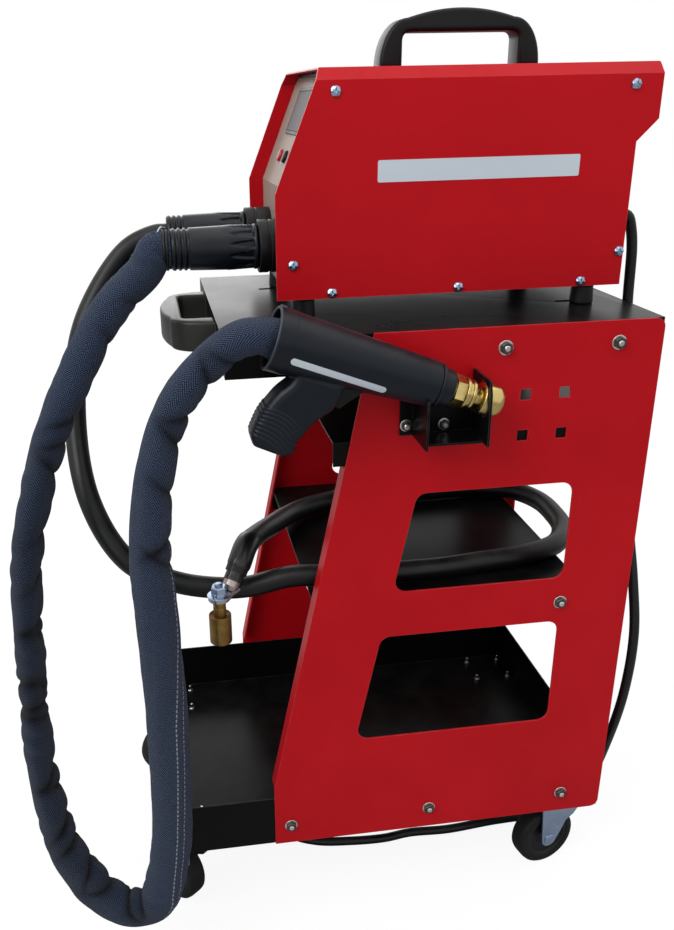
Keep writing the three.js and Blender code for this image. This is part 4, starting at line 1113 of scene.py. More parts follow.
FINISHES: dict[str, Finish] = {f.name: f for f in (
    Finish("red_coat", "red_paint", (197, 17, 28), (185, 13, 24), 0.36, specular=0.12,
           grain_scale=520.0, grain_height=1.6e-5, edge_colour=(226, 110, 112), edge_radius=0.0012,
           dust=0.06),
    Finish("black_gloss", "black_paint", (10, 10, 11), (15, 15, 16), 0.3, specular=0.09,
           grain_scale=420.0, grain_height=1.4e-5, edge_colour=(120, 120, 124), edge_radius=0.0008,
           dust=0.03, scuffs=0.05),
    Finish("face_grey", "face_paint", (168, 150, 138), (152, 134, 124), 0.4, specular=0.06,
           grain_height=6e-6, edge_colour=(205, 202, 196), edge_radius=0.0008),
    Finish("navy_moulding", "navy_plastic", (8, 14, 23), (12, 20, 30), 0.4, specular=0.26,
           grain_scale=1500.0, grain_height=2.5e-5, edge_colour=(88, 92, 102), edge_radius=0.0009,
           dust=0.08, scuffs=0.15),
    Finish("black_moulding", "navy_plastic", (10, 11, 13), (16, 17, 19), 0.4, specular=0.22,
           grain_scale=1500.0, grain_height=2.0e-5, edge_colour=(92, 92, 90), edge_radius=0.001,
           dust=0.08, scuffs=0.15),
    Finish("red_moulding", "red_plastic", (188, 16, 24), (168, 12, 20), 0.3,
           grain_height=8e-6, edge_colour=(220, 110, 110), edge_radius=0.0006),
    DarkWindow("smoked_window", "window", (52, 48, 50), (66, 60, 62), 0.36, specular=0.03),
    Finish("board_green", "board", (24, 88, 48), (18, 70, 40), 0.5, grain_height=3e-5,
           mottle_scale=60.0),
    Finish("black_rubber", "rubber", (8, 9, 11), (13, 15, 17), 0.42, specular=0.32,
           grain_scale=1300.0, grain_height=3.5e-5, mottle_scale=14.0, dust=0.15),
    Finish("tyre_rubber", "tyre", (9, 10, 11), (15, 16, 17), 0.66, specular=0.25,
           grain_scale=900.0, grain_height=4e-5, mottle_scale=22.0, dust=0.12, scuffs=0.2,
           edge_colour=(96, 94, 90)),
    DrawnMetal("blue_zinc", "zinc", (178, 194, 212), (128, 146, 176), 0.24,
               mottle_scale=28.0, tarnish=0.8),
    DrawnMetal("bare_copper", "copper", (190, 120, 84), (140, 88, 66), 0.34),
    DrawnMetal("tinned_copper", "copper", (186, 178, 176), (148, 126, 118), 0.3,
               mottle_scale=60.0, tarnish=0.8),
    DrawnMetal("aged_brass", "brass", (160, 128, 72), (104, 78, 44), 0.36,
               mottle_scale=60.0, line_scale=900.0, tarnish=0.9),
    DrawnMetal("turned_brass", "brass", (216, 196, 132), (168, 142, 84), 0.16,
               mottle_scale=36.0, line_scale=900.0),
    Denim("navy_twill", "denim", (3, 6, 13), (78, 96, 130), 0.85, specular=0.12,
          edge_colour=(150, 160, 184)),
    Finish("olive_moulding", "navy_plastic", (38, 38, 34), (48, 48, 43), 0.36, specular=0.26,
           grain_scale=1500.0, grain_height=1.6e-5, edge_colour=(150, 147, 134),
           edge_radius=0.0014, dust=0.08),
    Finish("plug_rubber", "navy_plastic", (7, 12, 19), (11, 18, 27), 0.32, specular=0.28,
           grain_scale=1500.0, grain_height=1.6e-5, edge_colour=(92, 96, 106), edge_radius=0.0008,
           dust=0.1),
    Finish("grey_rim", "navy_plastic", (44, 50, 58), (58, 64, 72), 0.45, grain_height=1.2e-5),
    Finish("shrink_sleeve", "rubber", (10, 10, 12), (17, 17, 19), 0.3, grain_height=2.5e-5),
    DrawnMetal("plain_steel", "zinc", (222, 220, 216), (172, 168, 164), 0.2, tarnish=0.6),
    # The same drawn steel as plain_steel, darkened: painted shade on the hex nuts
    DrawnMetal("nut_steel_painted_shade", "zinc", (96, 92, 90), (60, 58, 57), 0.3, tarnish=0.6),
    Finish("white_strip", "face_paint", (212, 220, 228), (200, 209, 218), 0.35,
           grain_height=4e-6, dust=0.05),
    Laminated("core_stack", "core_steel", (96, 98, 102), (58, 59, 62), 0.4, metallic=1.0,
              pitch=0.001, axis="Y"),
    Laminated("wound_wire", "copper", (158, 88, 52), (96, 48, 28), 0.35, metallic=0.8,
              pitch=0.0024, axis="Z"),
)}


# The shop: where pieces get their finish, their place and their body


class Shop:
    """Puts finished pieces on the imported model."""

    def __init__(self, frame: dict) -> None:
        """Finds the cart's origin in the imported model.
        """
        self.nodes: dict[str, Object] = frame["nodes"]
        low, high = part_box("bottom_tray")
        self.origin = Vector(((low.x + high.x) / 2, (low.y + high.y) / 2, 0.0))
        self.materials: dict[str, Material] = {}

    def material(self, finish: str) -> Material:
        """The material of a finish, made the first time that it is asked for.

        Args:
            finish: Name of its finish.

        Returns:
            The material.
        """
        if finish not in self.materials:
            self.materials[finish] = FINISHES[finish].build()
        return self.materials[finish]

    def row(self, place: Iterable[float]) -> tuple[float, float, float]:
        """A place in the cart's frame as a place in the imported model's frame."""
        return tuple(Vector(place) + self.origin)

    def coat(self, piece: Object, finish: str) -> None:
        """Gives a piece its material.

        Args:
            piece: The piece.
            finish: Name of its finish.
        """
        piece.data.materials.clear()
        piece.data.materials.append(self.material(finish))

    def add(self, piece: Object, finish: str, body: str = "cart",
            replaces: Sequence[str] = ()) -> Object:
        """Dresses a piece and lets it ride on its body.

        Args:
            piece: The new piece, in the cart's frame.
            finish: Name of its finish.
            body: The body that carries it.
            replaces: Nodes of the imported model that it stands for.

        Returns:
            The piece.
        """
        piece.data.transform(Matrix.Translation(self.origin))
        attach(piece, body)
        self.coat(piece, finish)
        if replaces:
            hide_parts(*replaces)
        LOG.info("%s: %d faces on %s", piece.name, len(piece.data.polygons), body)
        return piece

    def turn(self, name: str, profile: Sequence[Pair], place: Matrix, sides: int, finish: str,
             body: str = "cart", replaces: Sequence[str] = ()) -> Object:
        """Turns a profile on the lathe, as Solid.lathe does, and adds the piece."""
        made = Solid().lathe(profile, place, sides).object(name)
        return self.add(made, finish, body, replaces)

    def dress(self, node: str, finish: str, edge: float = 0.0, angle: float = 50.0) -> None:
        """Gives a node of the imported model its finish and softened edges.

        Args:
            node: The node's name.
            finish: Name of its finish.
            edge: Radius of the softened edges.
            angle: Angle in degrees past which an edge is softened.
        """
        piece = self.nodes[node]
        custom = piece.data.attributes.get("custom_normal")
        if custom is not None:
            piece.data.attributes.remove(custom)
        self.coat(piece, finish)
        weld = piece.modifiers.new("weld", "WELD")
        weld.merge_threshold = 1e-6
        if edge > 0:
            bevel = piece.modifiers.new("edge", "BEVEL")
            bevel.width, bevel.segments, bevel.limit_method = edge, 3, "ANGLE"
            bevel.angle_limit, bevel.harden_normals = radians(angle), True
            piece.data.shade_smooth()
        else:
            piece.data.shade_flat()
        LOG.info("%s: dressed in %s", node, finish)


# Studio


@dataclass(frozen=True)
class Studio:
    """Camera, lamps, world and floor."""

    eye: Place = (0.9503, -0.2168, 0.8641)
    yaw: float = 7.516
    pitch: float = 22.923
    roll: float = -1.34
    focal_pixels: float = 925.06
    photo_width: float = 674.0
    photo_height: float = 930.0
    centre_x: float = 276.35
    centre_y: float = 490.55
    sensor: float = 36.0
    ambient: float = 0.62
    floor_half: float = 30.0

    def build(self, shop: Shop) -> None:
        """Makes everything that lights and shows the object.

        Args:
            shop: Where pieces go.
        """
        self.camera(shop)
        self.world()
        self.floor()
        target = Vector(shop.row((0.0, 0.0, 0.45)))
        self.lamp("key_softbox", Vector((1.5, -1.9, 2.5)), target, 1.6, 41.0)
        self.lamp("top_softbox", Vector((0.2, 0.5, 2.8)), target, 2.2, 13.0)
        self.lamp("far_softbox", Vector((-2.2, -0.3, 1.3)), target, 1.1, 7.0)
        bpy.context.scene.view_settings.view_transform = "Standard"

    def camera(self, shop: Shop) -> None:
        """Makes the camera at the photograph's viewpoint.

        Args:
            shop: Where pieces go.
        """
        yaw, pitch, roll = (radians(a) for a in (self.yaw, self.pitch, self.roll))
        ahead = Vector((-cos(yaw) * cos(pitch), sin(yaw) * cos(pitch), -sin(pitch)))
        level = ahead.cross(Vector((0, 0, 1))).normalized()
        lift = level.cross(ahead)
        right = level * cos(roll) + lift * sin(roll)
        top = lift * cos(roll) - level * sin(roll)
        data = bpy.data.cameras.new("photo_camera")
        longest = max(self.photo_width, self.photo_height)
        data.sensor_width = self.sensor
        data.lens = self.focal_pixels * self.sensor / longest
        data.shift_x = (self.photo_width / 2 - self.centre_x) / longest
        data.shift_y = (self.centre_y - self.photo_height / 2) / longest
        data.clip_start, data.clip_end = 0.05, 100.0
        camera = linked("photo_camera", data)
        turn = Matrix((right, top, -ahead)).transposed().to_4x4()
        camera.matrix_world = Matrix.Translation(shop.row(self.eye)) @ turn
        bpy.context.scene.camera = camera

    def lamp(self, name: str, place: Vector, target: Vector, size: float, power: float) -> None:
        """Makes a soft area lamp that faces a target.

        Args:
            name: Its name.
            place: Where it stands.
            target: What it faces.
            size: Length of its side.
            power: Its power in watts.
        """
        data = bpy.data.lights.new(name, "AREA")
        data.size, data.energy = size, power
        lamp = linked(name, data)
        lamp.location = place
        lamp.rotation_mode = "QUATERNION"
        lamp.rotation_quaternion = (target - place).to_track_quat("-Z", "Y")

    def world(self) -> None:
        """Makes a white backdrop and an even ambient light."""
        world = bpy.data.worlds.new("studio")
        bpy.context.scene.world = world
        graph = emptied(world)
        rays = graph.add("LightPath")
        seen = graph.math(
            "MAXIMUM", rays.outputs["Is Glossy Ray"], rays.outputs["Is Transmission Ray"])
        seen = graph.math("MAXIMUM", rays.outputs["Is Camera Ray"], seen)
        light = graph.add(
            "Background", {"Color": (0.95, 0.98, 1.0, 1.0), "Strength": self.ambient})
        backdrop = graph.add("Background", {"Color": (1.0, 1.0, 1.0, 1.0), "Strength": 1.0})
        blend = graph.add("MixShader", {"Fac": seen})
        graph.feed(blend.inputs[1], light.outputs[0])
        graph.feed(blend.inputs[2], backdrop.outputs[0])
        graph.feed(graph.add("OutputWorld").inputs["Surface"], blend.outputs[0])

    def floor(self) -> None:
        """Makes the pale floor."""
        half = self.floor_half
        mesh = bpy.data.meshes.new("floor")
        corners = [(-half, -half, 0), (half, -half, 0), (half, half, 0), (-half, half, 0)]
        mesh.from_pydata(corners, [], [(0, 1, 2, 3)])
        floor = linked("floor", mesh)
        material = bpy.data.materials.new("pale_floor")
        graph = emptied(material)
        rays = graph.add("LightPath")
        shade = graph.add(
            "BsdfPrincipled",
            {"Base Color": (0.52, 0.52, 0.52, 1.0), "Roughness": 0.7, "Specular IOR Level": 0.1})
        white = graph.add("Emission", {"Color": (1.0, 1.0, 1.0, 1.0), "Strength": 1.2})
        blend = graph.add("MixShader", {"Fac": graph.times(rays.outputs["Is Camera Ray"], 0.76)})
        graph.feed(blend.inputs[1], shade.outputs[0])
        graph.feed(blend.inputs[2], white.outputs[0])
        graph.feed(graph.add("OutputMaterial").inputs["Surface"], blend.outputs[0])
        mesh.materials.append(material)


# Frames of the sub-assemblies, seen from the cart's

WELDER = moved(0.0, -0.1, 0.692)
CONTROL_FACE = WELDER @ moved(0.0, 0.015, 0.0937) @ Matrix.Rotation(-atan2(0.0415, 0.1029), 4, "X")
GUN_TAIL = Vector((0.19, -0.108, 0.676))
GUN_SLOPE = 0.331
GUN_WAY = Vector((0.0, cos(GUN_SLOPE), -sin(GUN_SLOPE)))
GUN = Matrix.Translation(GUN_TAIL) @ Matrix.Rotation(-GUN_SLOPE, 4, "X")


# Leads


def straight_end(face: Iterable[float], way: Iterable[float], length: float) -> list[Place]:
    """The straight first stretch of a lead, square to the face that it leaves."""
    start, ahead = Vector(face), Vector(way)
    return [tuple(start + ahead * (share * length)) for share in (0.0, 0.5, 1.0)]


def tube(name: str, line: np.ndarray, sides: int, radius: Reach,
         first: Place | np.ndarray = (0.0, 0.0, 1.0), girth: float = 0.02) -> Object:
    """A closed tube along a line, with a map of its length and its girth in metres.

    Args:
        name: The piece's name.
        line: The points of the centre line.
        sides: Steps round the tube.
        radius: Gives the radius, as for Solid.sweep.
        first: Direction near which the angle is zero, at the start or for each point.
        girth: Radius that turns an angle into a distance on the map.

    Returns:
        The new object.
    """
    piece = Solid().sweep(line, sides, radius, first).object(name, 60.0)
    along = distances(line)
    lay = piece.data.uv_layers.new(name=LAY_MAP)
    for face in piece.data.polygons:
        steps = [piece.data.loops[i].vertex_index % sides for i in face.loop_indices]
        low = max(steps) - min(steps) > sides / 2
        for corner, step in zip(face.loop_indices, steps):
            row = piece.data.loops[corner].vertex_index // sides
            turn = step + sides if low and step < sides / 2 else step
            middle = sides if low or min(steps) >= sides / 2 else 0
            lay.data[corner].uv = ((turn - middle) / sides * 2 * pi * girth, along[row])
    return piece


def ring_tube(radius: float, thickness: float, steps: int = 10) -> list[Pair]:
    """The closed profile of a ring of round section, for Solid.lathe."""
    turns = [2 * pi * k / steps for k in range(steps + 1)]
    return [(thickness * sin(a), radius + thickness * cos(a)) for a in turns]


@dataclass
class GunHose:
    """The thick lead in its denim sleeve, from the machine's left socket to the gun."""

    diameter: float = 0.04
    straight: float = 0.014
    sides: int = 72
    step: float = 0.0028
    start: Place = (0.055, -0.1939, 0.7357)
    bends: tuple[Place, ...] = metres(
        (60, -219, 719), (80, -254, 688), (105, -302, 611), (125, -332, 541),
        (145, -350, 468), (165, -357, 350), (185, -356, 243), (200, -335, 145),
        (209, -290, 88), (212, -258, 92), (210, -238, 150), (207, -232, 219),
        (204, -230, 316), (201, -231, 405), (198, -233, 488), (195, -222, 572),
        (192, -201, 628), (190, -170, 663), (190, -141, 681))
    both_halves: float = 0.038
    widths: tuple[Pair, ...] = (
        (0.0, 0.0175), (0.1, 0.0172), (0.2, 0.0164), (0.3, 0.0144), (0.45, 0.0139), (0.57, 0.0142),
        (0.64, 0.0168), (0.7, 0.02), (0.77, 0.0205), (1.02, 0.0205), (1.1, 0.02), (1.17, 0.0195),
        (1.25, 0.0175), (1.32, 0.0162), (1.38, 0.0155), (1.42, 0.0155))
    seam: tuple[tuple[float, Place], ...] = (
        (0.0, (-1.0, 0.0, 0.2)), (0.6, (-1.0, 0.0, 0.0)), (0.74, (0.0, 0.0, -1.0)),
        (0.86, (0.9, 0.44, 0.0)), (1.0, (0.75, 0.6, 0.0)), (1.12, (0.2, 1.0, 0.0)),
        (1.22, (0.0, 1.0, 0.0)), (1.31, (-0.4, 0.6, -0.8)), (1.42, (-0.7, 0.3, -1.0)))
    creases: tuple[Place, ...] = (
        (0.062, 0.003, 0.5), (0.118, 0.0034, -0.4), (0.188, 0.0048, 0.8), (0.216, 0.004, 0.5),
        (0.252, 0.0044, -0.7), (0.305, 0.004, 0.5), (0.338, 0.0052, 0.9), (0.392, 0.005, 0.4),
        (0.414, 0.0046, -0.5), (0.448, 0.0056, 0.8), (0.476, 0.005, 0.3), (0.499, 0.0046, -0.6),
        (0.548, 0.006, 0.7), (0.579, 0.0052, -0.5), (0.606, 0.0058, 0.8), (0.634, 0.005, 0.4),
        (0.668, 0.0046, 0.9), (0.708, 0.0044, -0.5), (0.742, 0.0052, 0.6), (0.77, 0.004, -0.3),
        (1.168, 0.0036, 0.9), (1.196, 0.0042, -0.6), (1.238, 0.004, 0.7), (1.286, 0.0052, 0.6),
        (1.318, 0.0044, -0.4), (1.352, 0.0046, 0.5), (1.386, 0.0036, -0.5))
    crease_width: float = 0.0046
    full_shade: float = 0.0034

    def line(self) -> np.ndarray:
        """The centre line from the plug's tail to the gun's tail.

        Returns:
            The points of the line.
        """
        end = straight_end(GUN_TAIL - GUN_WAY * SEAT, -GUN_WAY, self.straight)
        points = [*straight_end(self.start, (0, -1, 0), self.straight), *self.bends,
                  *reversed(end)]
        return smooth_route(points, self.step)

    def seam_ways(self, line: np.ndarray) -> np.ndarray:
        """The direction of the seam at each point: it winds half round at the bottom.

        Args:
            line: The points of the line.

        Returns:
            A direction for each point.
        """
        share = distances(line)
        at = [place for place, _ in self.seam]
        return np.stack(
            [np.interp(share, at, [way[k] for _, way in self.seam]) for k in range(3)], axis=1)

    def section(self, line: np.ndarray, first: np.ndarray) -> np.ndarray:
        """Radius of the flattened sleeve: its section is an oval that lies flatter in places.

        Args:
            line: The centre line.
            first: Direction of the angle zero at each point.

        Returns:
            The radius at each point and angle.
        """
        side, up = carried_frames(line, first)
        way = np.gradient(line, axis=0)
        level = np.cross(way, (1.0, 0.0, 0.0))
        turn = np.arctan2(
            np.einsum("nk,nk->n", level, up), np.einsum("nk,nk->n", level, side))[:, None]
        at = [place for place, _ in self.widths]
        wide = np.interp(distances(line), at, [half for _, half in self.widths])[:, None]
        deep = self.both_halves - wide
        angle = angles(self.sides) - turn
        return 1 / np.sqrt((np.cos(angle) / wide) ** 2 + (np.sin(angle) / deep) ** 2)

    def creased(self, along: np.ndarray, inward: np.ndarray) -> np.ndarray:
        """Depth of the creases, which start inside each bend and run slantwise round the sleeve.

        Args:
            along: Distance from the start, one row each.
            inward: One on the inside of the bend, minus one on its outside.

        Returns:
            How far the cloth lies in, at each point.
        """
        depth = 0.0 * inward
        fading = np.clip((inward + 0.75) / 1.15, 0.0, 1.0)
        for place, deep, slant in self.creases:
            off = along - place - slant * (1 - inward) * self.diameter / 2
            depth = depth + deep * fading * np.exp(-np.abs(off) / self.crease_width)
        return depth

    def inward(self, bend: np.ndarray) -> np.ndarray:
        """One on the inside of each bend, minus one on its outside."""
        sharpest = np.abs(bend).max(axis=1, keepdims=True)
        return np.clip(bend / (sharpest + 0.3), -1.0, 1.0)

    def mark_creases(self, sleeve: Object, line: np.ndarray, ways: np.ndarray) -> None:
        """Keeps on each point how deep it lies in the folds, for the painted shade with which the
        cloth's finish darkens the folds.

        Args:
            sleeve: The finished sleeve.
            line: Its centre line.
            ways: The direction of the angle zero at each point.
        """
        inward = self.inward(around(line, self.sides, ways)[1])
        depth = self.creased(distances(line)[:, None], inward) / self.full_shade
        depth = np.clip(depth, 0.0, 1.0).ravel()
        values = np.zeros(len(sleeve.data.vertices), dtype=np.float32)
        values[:len(depth)] = depth[:len(values)]
        sleeve.data.attributes.new(FOLD_SHADE_ATTRIBUTE, "FLOAT", "POINT").data.foreach_set("value", values)

    def reach(self, along: np.ndarray, angle: np.ndarray, bend: np.ndarray,
              oval: np.ndarray) -> np.ndarray:
        """Radius of the sleeve: loose cloth that gathers on the inside of each bend.

        Args:
            along: Distance from the start, one row each.
            angle: Angle round the sleeve.
            bend: How sharply the line bends towards each point, per metre.
            oval: Radius of the smooth section.

        Returns:
            The radius at each point.
        """
        half = self.diameter / 2
        whole = along[-1, 0]
        squeeze = np.clip(bend * half * 4.0, 0.0, 1.0)
        inward = self.inward(bend)
        sway = (1.1 * np.sin(13 * along) + 0.8 * np.sin(37 * along + 1.3)
                + 0.5 * np.sin(71 * along + 0.4))
        tight = np.abs(np.sin(np.pi * along / 0.021 + 0.8 * np.sin(angle + sway) + sway)) - 0.64
        slow = np.abs(np.sin(np.pi * along / 0.05 + 1.3 * np.cos(angle + sway) + sway)) - 0.64
        cross = np.abs(
            np.sin(np.pi * along / 0.031 - 1.9 * np.cos(angle - 1.1) + 1.7 * sway)) - 0.64
        lengthwise = np.cos(3 * angle + 2.6 * np.sin(9 * along)) * np.cos(21 * along)
        gathered = np.interp(
            along, (0.0, 0.1, 0.25, 0.6, 0.75, 0.9, 1.42), (0.5, 0.5, 1.0, 1.0, 0.9, 0.3, 0.3))
        loose = gathered * (0.001 * slow + 0.0009 * cross) + 0.0006 * lengthwise
        puffed = 0.0016 * np.clip(inward, 0.0, 1.0) * gathered
        body = (oval * 0.985 + loose + puffed - self.creased(along, inward)
                + 0.001 * squeeze * tight)
        seam = 0.0007 * np.exp(-(((angle + np.pi) % (2 * np.pi) - np.pi) / 0.27) ** 4)
        gather = half * 0.86 + 0.0007 * np.abs(np.sin(13 * angle + 0.5 * np.sin(5 * angle)))
        from_end = np.minimum(along, (whole - along) * 1.2)
        open_share = np.clip((from_end - 0.007) / 0.016, 0.0, 1.0)
        return gather + (body + seam - gather) * eased(open_share)

    def build(self, shop: Shop) -> None:
        """Makes the sleeve and the cord that ties it to the plug's tail.

        Args:
            shop: Where pieces go.
        """
        line = self.line()
        ways = self.seam_ways(line)
        oval = self.section(line, ways)
        sleeve = tube("gun_hose_sleeve", line, self.sides, lambda along, angle, bend: self.reach(
            along, angle, bend, oval), ways, self.diameter / 2)
        self.mark_creases(sleeve, line, ways)
        shop.add(sleeve, "navy_twill", replaces=["gun_hose"])
        ties = Solid()
        for along in (0.0035, 0.0062):
            at = moved(*self.start) @ TO_Y @ moved(0, 0, -along)
            ties.lathe(ring_tube(self.diameter * 0.445, 0.0014), at, 44)
        ties.box((-0.003, -0.0022, 0.0165), (0.003, 0.0022, 0.0205), 0.0012,
                 moved(self.start[0] - 0.004, self.start[1] - 0.005, self.start[2]))
        shop.add(ties.object("sleeve_tie"), "black_rubber")
        knot = np.array(
            [(0.0, 0.0, 0.0185), (0.002, -0.002, 0.0208), (0.005, -0.004, 0.02),
             (0.007, -0.006, 0.0172)]) + np.array(self.start) - np.array((0.004, 0.005, 0.0))
        tail = Solid().sweep(smooth_route([tuple(p) for p in knot], 0.001), 10,
                             lambda along, angle, bend: 0.0008 + 0 * angle)
        shop.add(tail.object("sleeve_tie_end"), "white_strip")


@dataclass
class GroundCable:
    """The bare lead from the machine's other socket to the ground clamp on the middle shelf."""

    diameter: float = 0.023
    straight: float = 0.01
    step: float = 0.004
    start: Place = (-0.055, -0.1939, 0.7357)
    bends: tuple[Place, ...] = metres(
        (-51, -236, 722), (-30, -285, 655), (0, -302, 579), (60, -293, 489),
        (93, -258, 432), (98, -212, 407), (102, -171, 398), (104, -138, 397),
        (109, -92, 407.5), (114, -52, 408), (118, 19, 407), (118, 64, 407),
        (112, 111, 407), (104, 165, 407), (86, 205, 407), (50, 229, 407),
        (12, 236, 407), (-32, 234, 407), (-66, 215, 407), (-83, 175, 407),
        (-84, 110, 407), (-84, 50, 407), (-78, -10, 407.5), (-60, -48, 409),
        (-28, -76, 414), (25, -101, 428), (70, -123, 439), (98, -137, 442))

    def line(self, clamp: GroundClamp) -> np.ndarray:
        """The centre line from the plug's tail to the lug's mouth.

        Args:
            clamp: The clamp at its far end.

        Returns:
            The points of the line.
        """
        end = straight_end(clamp.mouth(), clamp.way(), self.straight)
        points = [*straight_end(self.start, (0, -1, 0), self.straight), *self.bends,
                  *reversed(end)]
        return smooth_route(points, self.step)

    def build(self, shop: Shop, clamp: GroundClamp) -> None:
        """Makes the cable and its heat-shrink.

        Args:
            shop: Where pieces go.
            clamp: The clamp at its far end.
        """
        line = self.line(clamp)
        half = self.diameter / 2
        cable = tube("ground_lead", line, 40, lambda along, angle, bend:
                     half * 0.985 + 0.00012 * np.cos(3 * angle + 40 * along), girth=half)
        shop.add(cable, "black_rubber", replaces=["ground_cable"])
        shrink_line = np.concatenate(
            [line[distances(line) > distances(line)[-1] - 0.04],
             [np.array(clamp.mouth() - clamp.way() * 0.009)]])
        shrink = Solid().sweep(evened(shrink_line, 0.0015), 40, self.shrink_reach)
        sleeve = shop.add(shrink.object("lug_heat_shrink", 60.0), "shrink_sleeve")

    def shrink_reach(self, along: np.ndarray, angle: np.ndarray, bend: np.ndarray) -> np.ndarray:
        """Radius of the heat-shrink, which closes from the cable down to the lug's barrel.

        Args:
            along: Distance from the start.
            angle: Angle round the piece.
            bend: How sharply the line bends; not used.

        Returns:
            The radius at each point.
        """
        share = eased(np.clip((along - 0.03) / 0.01, 0.0, 1.0))
        return self.diameter / 2 + 0.0008 - 0.0027 * share + 0.0001 * np.cos(
            4 * angle + 90 * along)


@dataclass
class MainsLead:
    """The power cord with its gland, its wound spare length and its plug."""

    diameter: float = 0.0105
    step: float = 0.003
    gland_droop: float = pi / 6
    gland_base: Place = (0.07, 0.2243, 0.7677)
    gland_nose: float = 0.022
    floor: float = 0.0056
    bends: tuple[Place, ...] = metres(
        (70, 257, 740), (70.5, 260, 722), (72, 262, 668), (85, 265, 560),
        (118, 270, 440), (138, 272, 384), (150, 275, 325), (146, 276, 245),
        (126, 275, 158), (103, 274, 90), (82, 266, 35), (69, 240, 8))
    floor_bends: tuple[Pair, ...] = metres(
        (66, 215), (67, 170), (72, 108), (70, 59), (74, 25), (72, -18),
        (65, -60), (48, -90), (20, -103), (-10.7, -103))

    def way(self) -> Vector:
        """The direction in which the cord leaves its gland."""
        return Vector((0.0, cos(self.gland_droop), -sin(self.gland_droop)))

    def line(self) -> np.ndarray:
        """The centre line from the gland, down behind the cart and through the coil.

        Returns:
            The points of the line.
        """
        start = Vector(self.gland_base) + self.way() * (self.gland_nose + SEAT)
        points = [*straight_end(start, self.way(), self.diameter), *self.bends,
                  *((x, y, self.floor) for x, y in self.floor_bends)]
        return evened(
            np.concatenate([smooth_route(points, self.step), coil_line(self.step)]), self.step)

    def build(self, shop: Shop) -> None:
        """Makes the cord, the gland and the plug.

        Args:
            shop: Where pieces go.
        """
        line = self.line()
        half = self.diameter / 2
        cord = tube(
            "mains_cord", line, 20, lambda along, angle, bend: half * 0.99 + 0 * angle, girth=half)
        shop.add(cord, "black_rubber", replaces=["power_cord", "power_cord_coil"])
        plug = self.plug(shop)
        self.gland(shop)

    def gland(self, shop: Shop) -> None:
        """Makes the flange and the ribbed, tapered strain relief.

        Args:
            shop: Where pieces go.
        """
        place = moved(*self.gland_base) @ Matrix.Rotation(-self.gland_droop, 4, "X") @ TO_Y
        profile = [(-0.001, 0.0), (-0.001, 0.0098), (0.003, 0.0098)]
        for k in range(5):
            at, radius = 0.0045 + 0.0034 * k, 0.0098 - 0.00058 * k
            profile += [(at, radius), (at + 0.0004, radius - 0.0011),
                        (at + 0.0013, radius - 0.0011), (at + 0.0017, radius - 0.0003)]
        profile += [
            (self.gland_nose - 0.0006, 0.007), (self.gland_nose, 0.0064), (self.gland_nose, 0.0)]
        flange = spindle((-0.0023, 0.0097), (-0.0001, 0.0097), (-0.0001, 0.013),
                         (0.0037, 0.013, 0.0012), (0.0037, 0.009))
        made = Solid().lathe(flange, moved(*self.gland_base) @ TO_Y, 12)
        made.lathe(profile, place, 40)
        shop.add(made.object("strain_relief"), "black_rubber", replaces=["cord_gland"])

    def plug(self, shop: Shop) -> list[Object]:
        """Makes the moulded mains plug and its two pins.

        Args:
            shop: Where pieces go.

        Returns:
            The plug's pieces.
        """
        end = coil_line(self.step)[-1]
        place = moved(end[0] - SEAT, end[1], end[2]) @ Matrix.Rotation(pi, 4, "Z") @ TO_X
        profile = [(0.0, 0.0), (0.0, 0.0064), (0.001, 0.007)]
        for k in range(4):
            at, radius = 0.003 + 0.003 * k, 0.0072 + 0.00045 * k
            profile += [(at, radius), (at + 0.0004, radius - 0.001), (at + 0.0011, radius - 0.001),
                        (at + 0.0015, radius + 0.0002)]
        profile += [(0.016, 0.009), (0.0185, 0.0128), (0.023, 0.016), (0.026, 0.0164),
                    (0.05, 0.0164), (0.0528, 0.0158), (0.054, 0.014), (0.054, 0.0)]
        grip = Solid().lathe(profile, place, 56, lambda angle, along: -0.0009 * max(
            0.0, cos(8 * angle)) * (0.027 < along < 0.0505))
        body = shop.add(grip.object("mains_plug"), "black_rubber", replaces=["power_plug"])
        pins = Solid()
        for side in (-1, 1):
            pin = spindle((0.053, 0.0024), (0.073, 0.0024, 0.0012))
            pins.lathe(pin, place @ moved(0.0, side * 0.0095, 0.0), 20)
        metal = shop.add(pins.object("mains_plug_pins"), "turned_brass")
        return [body, metal]


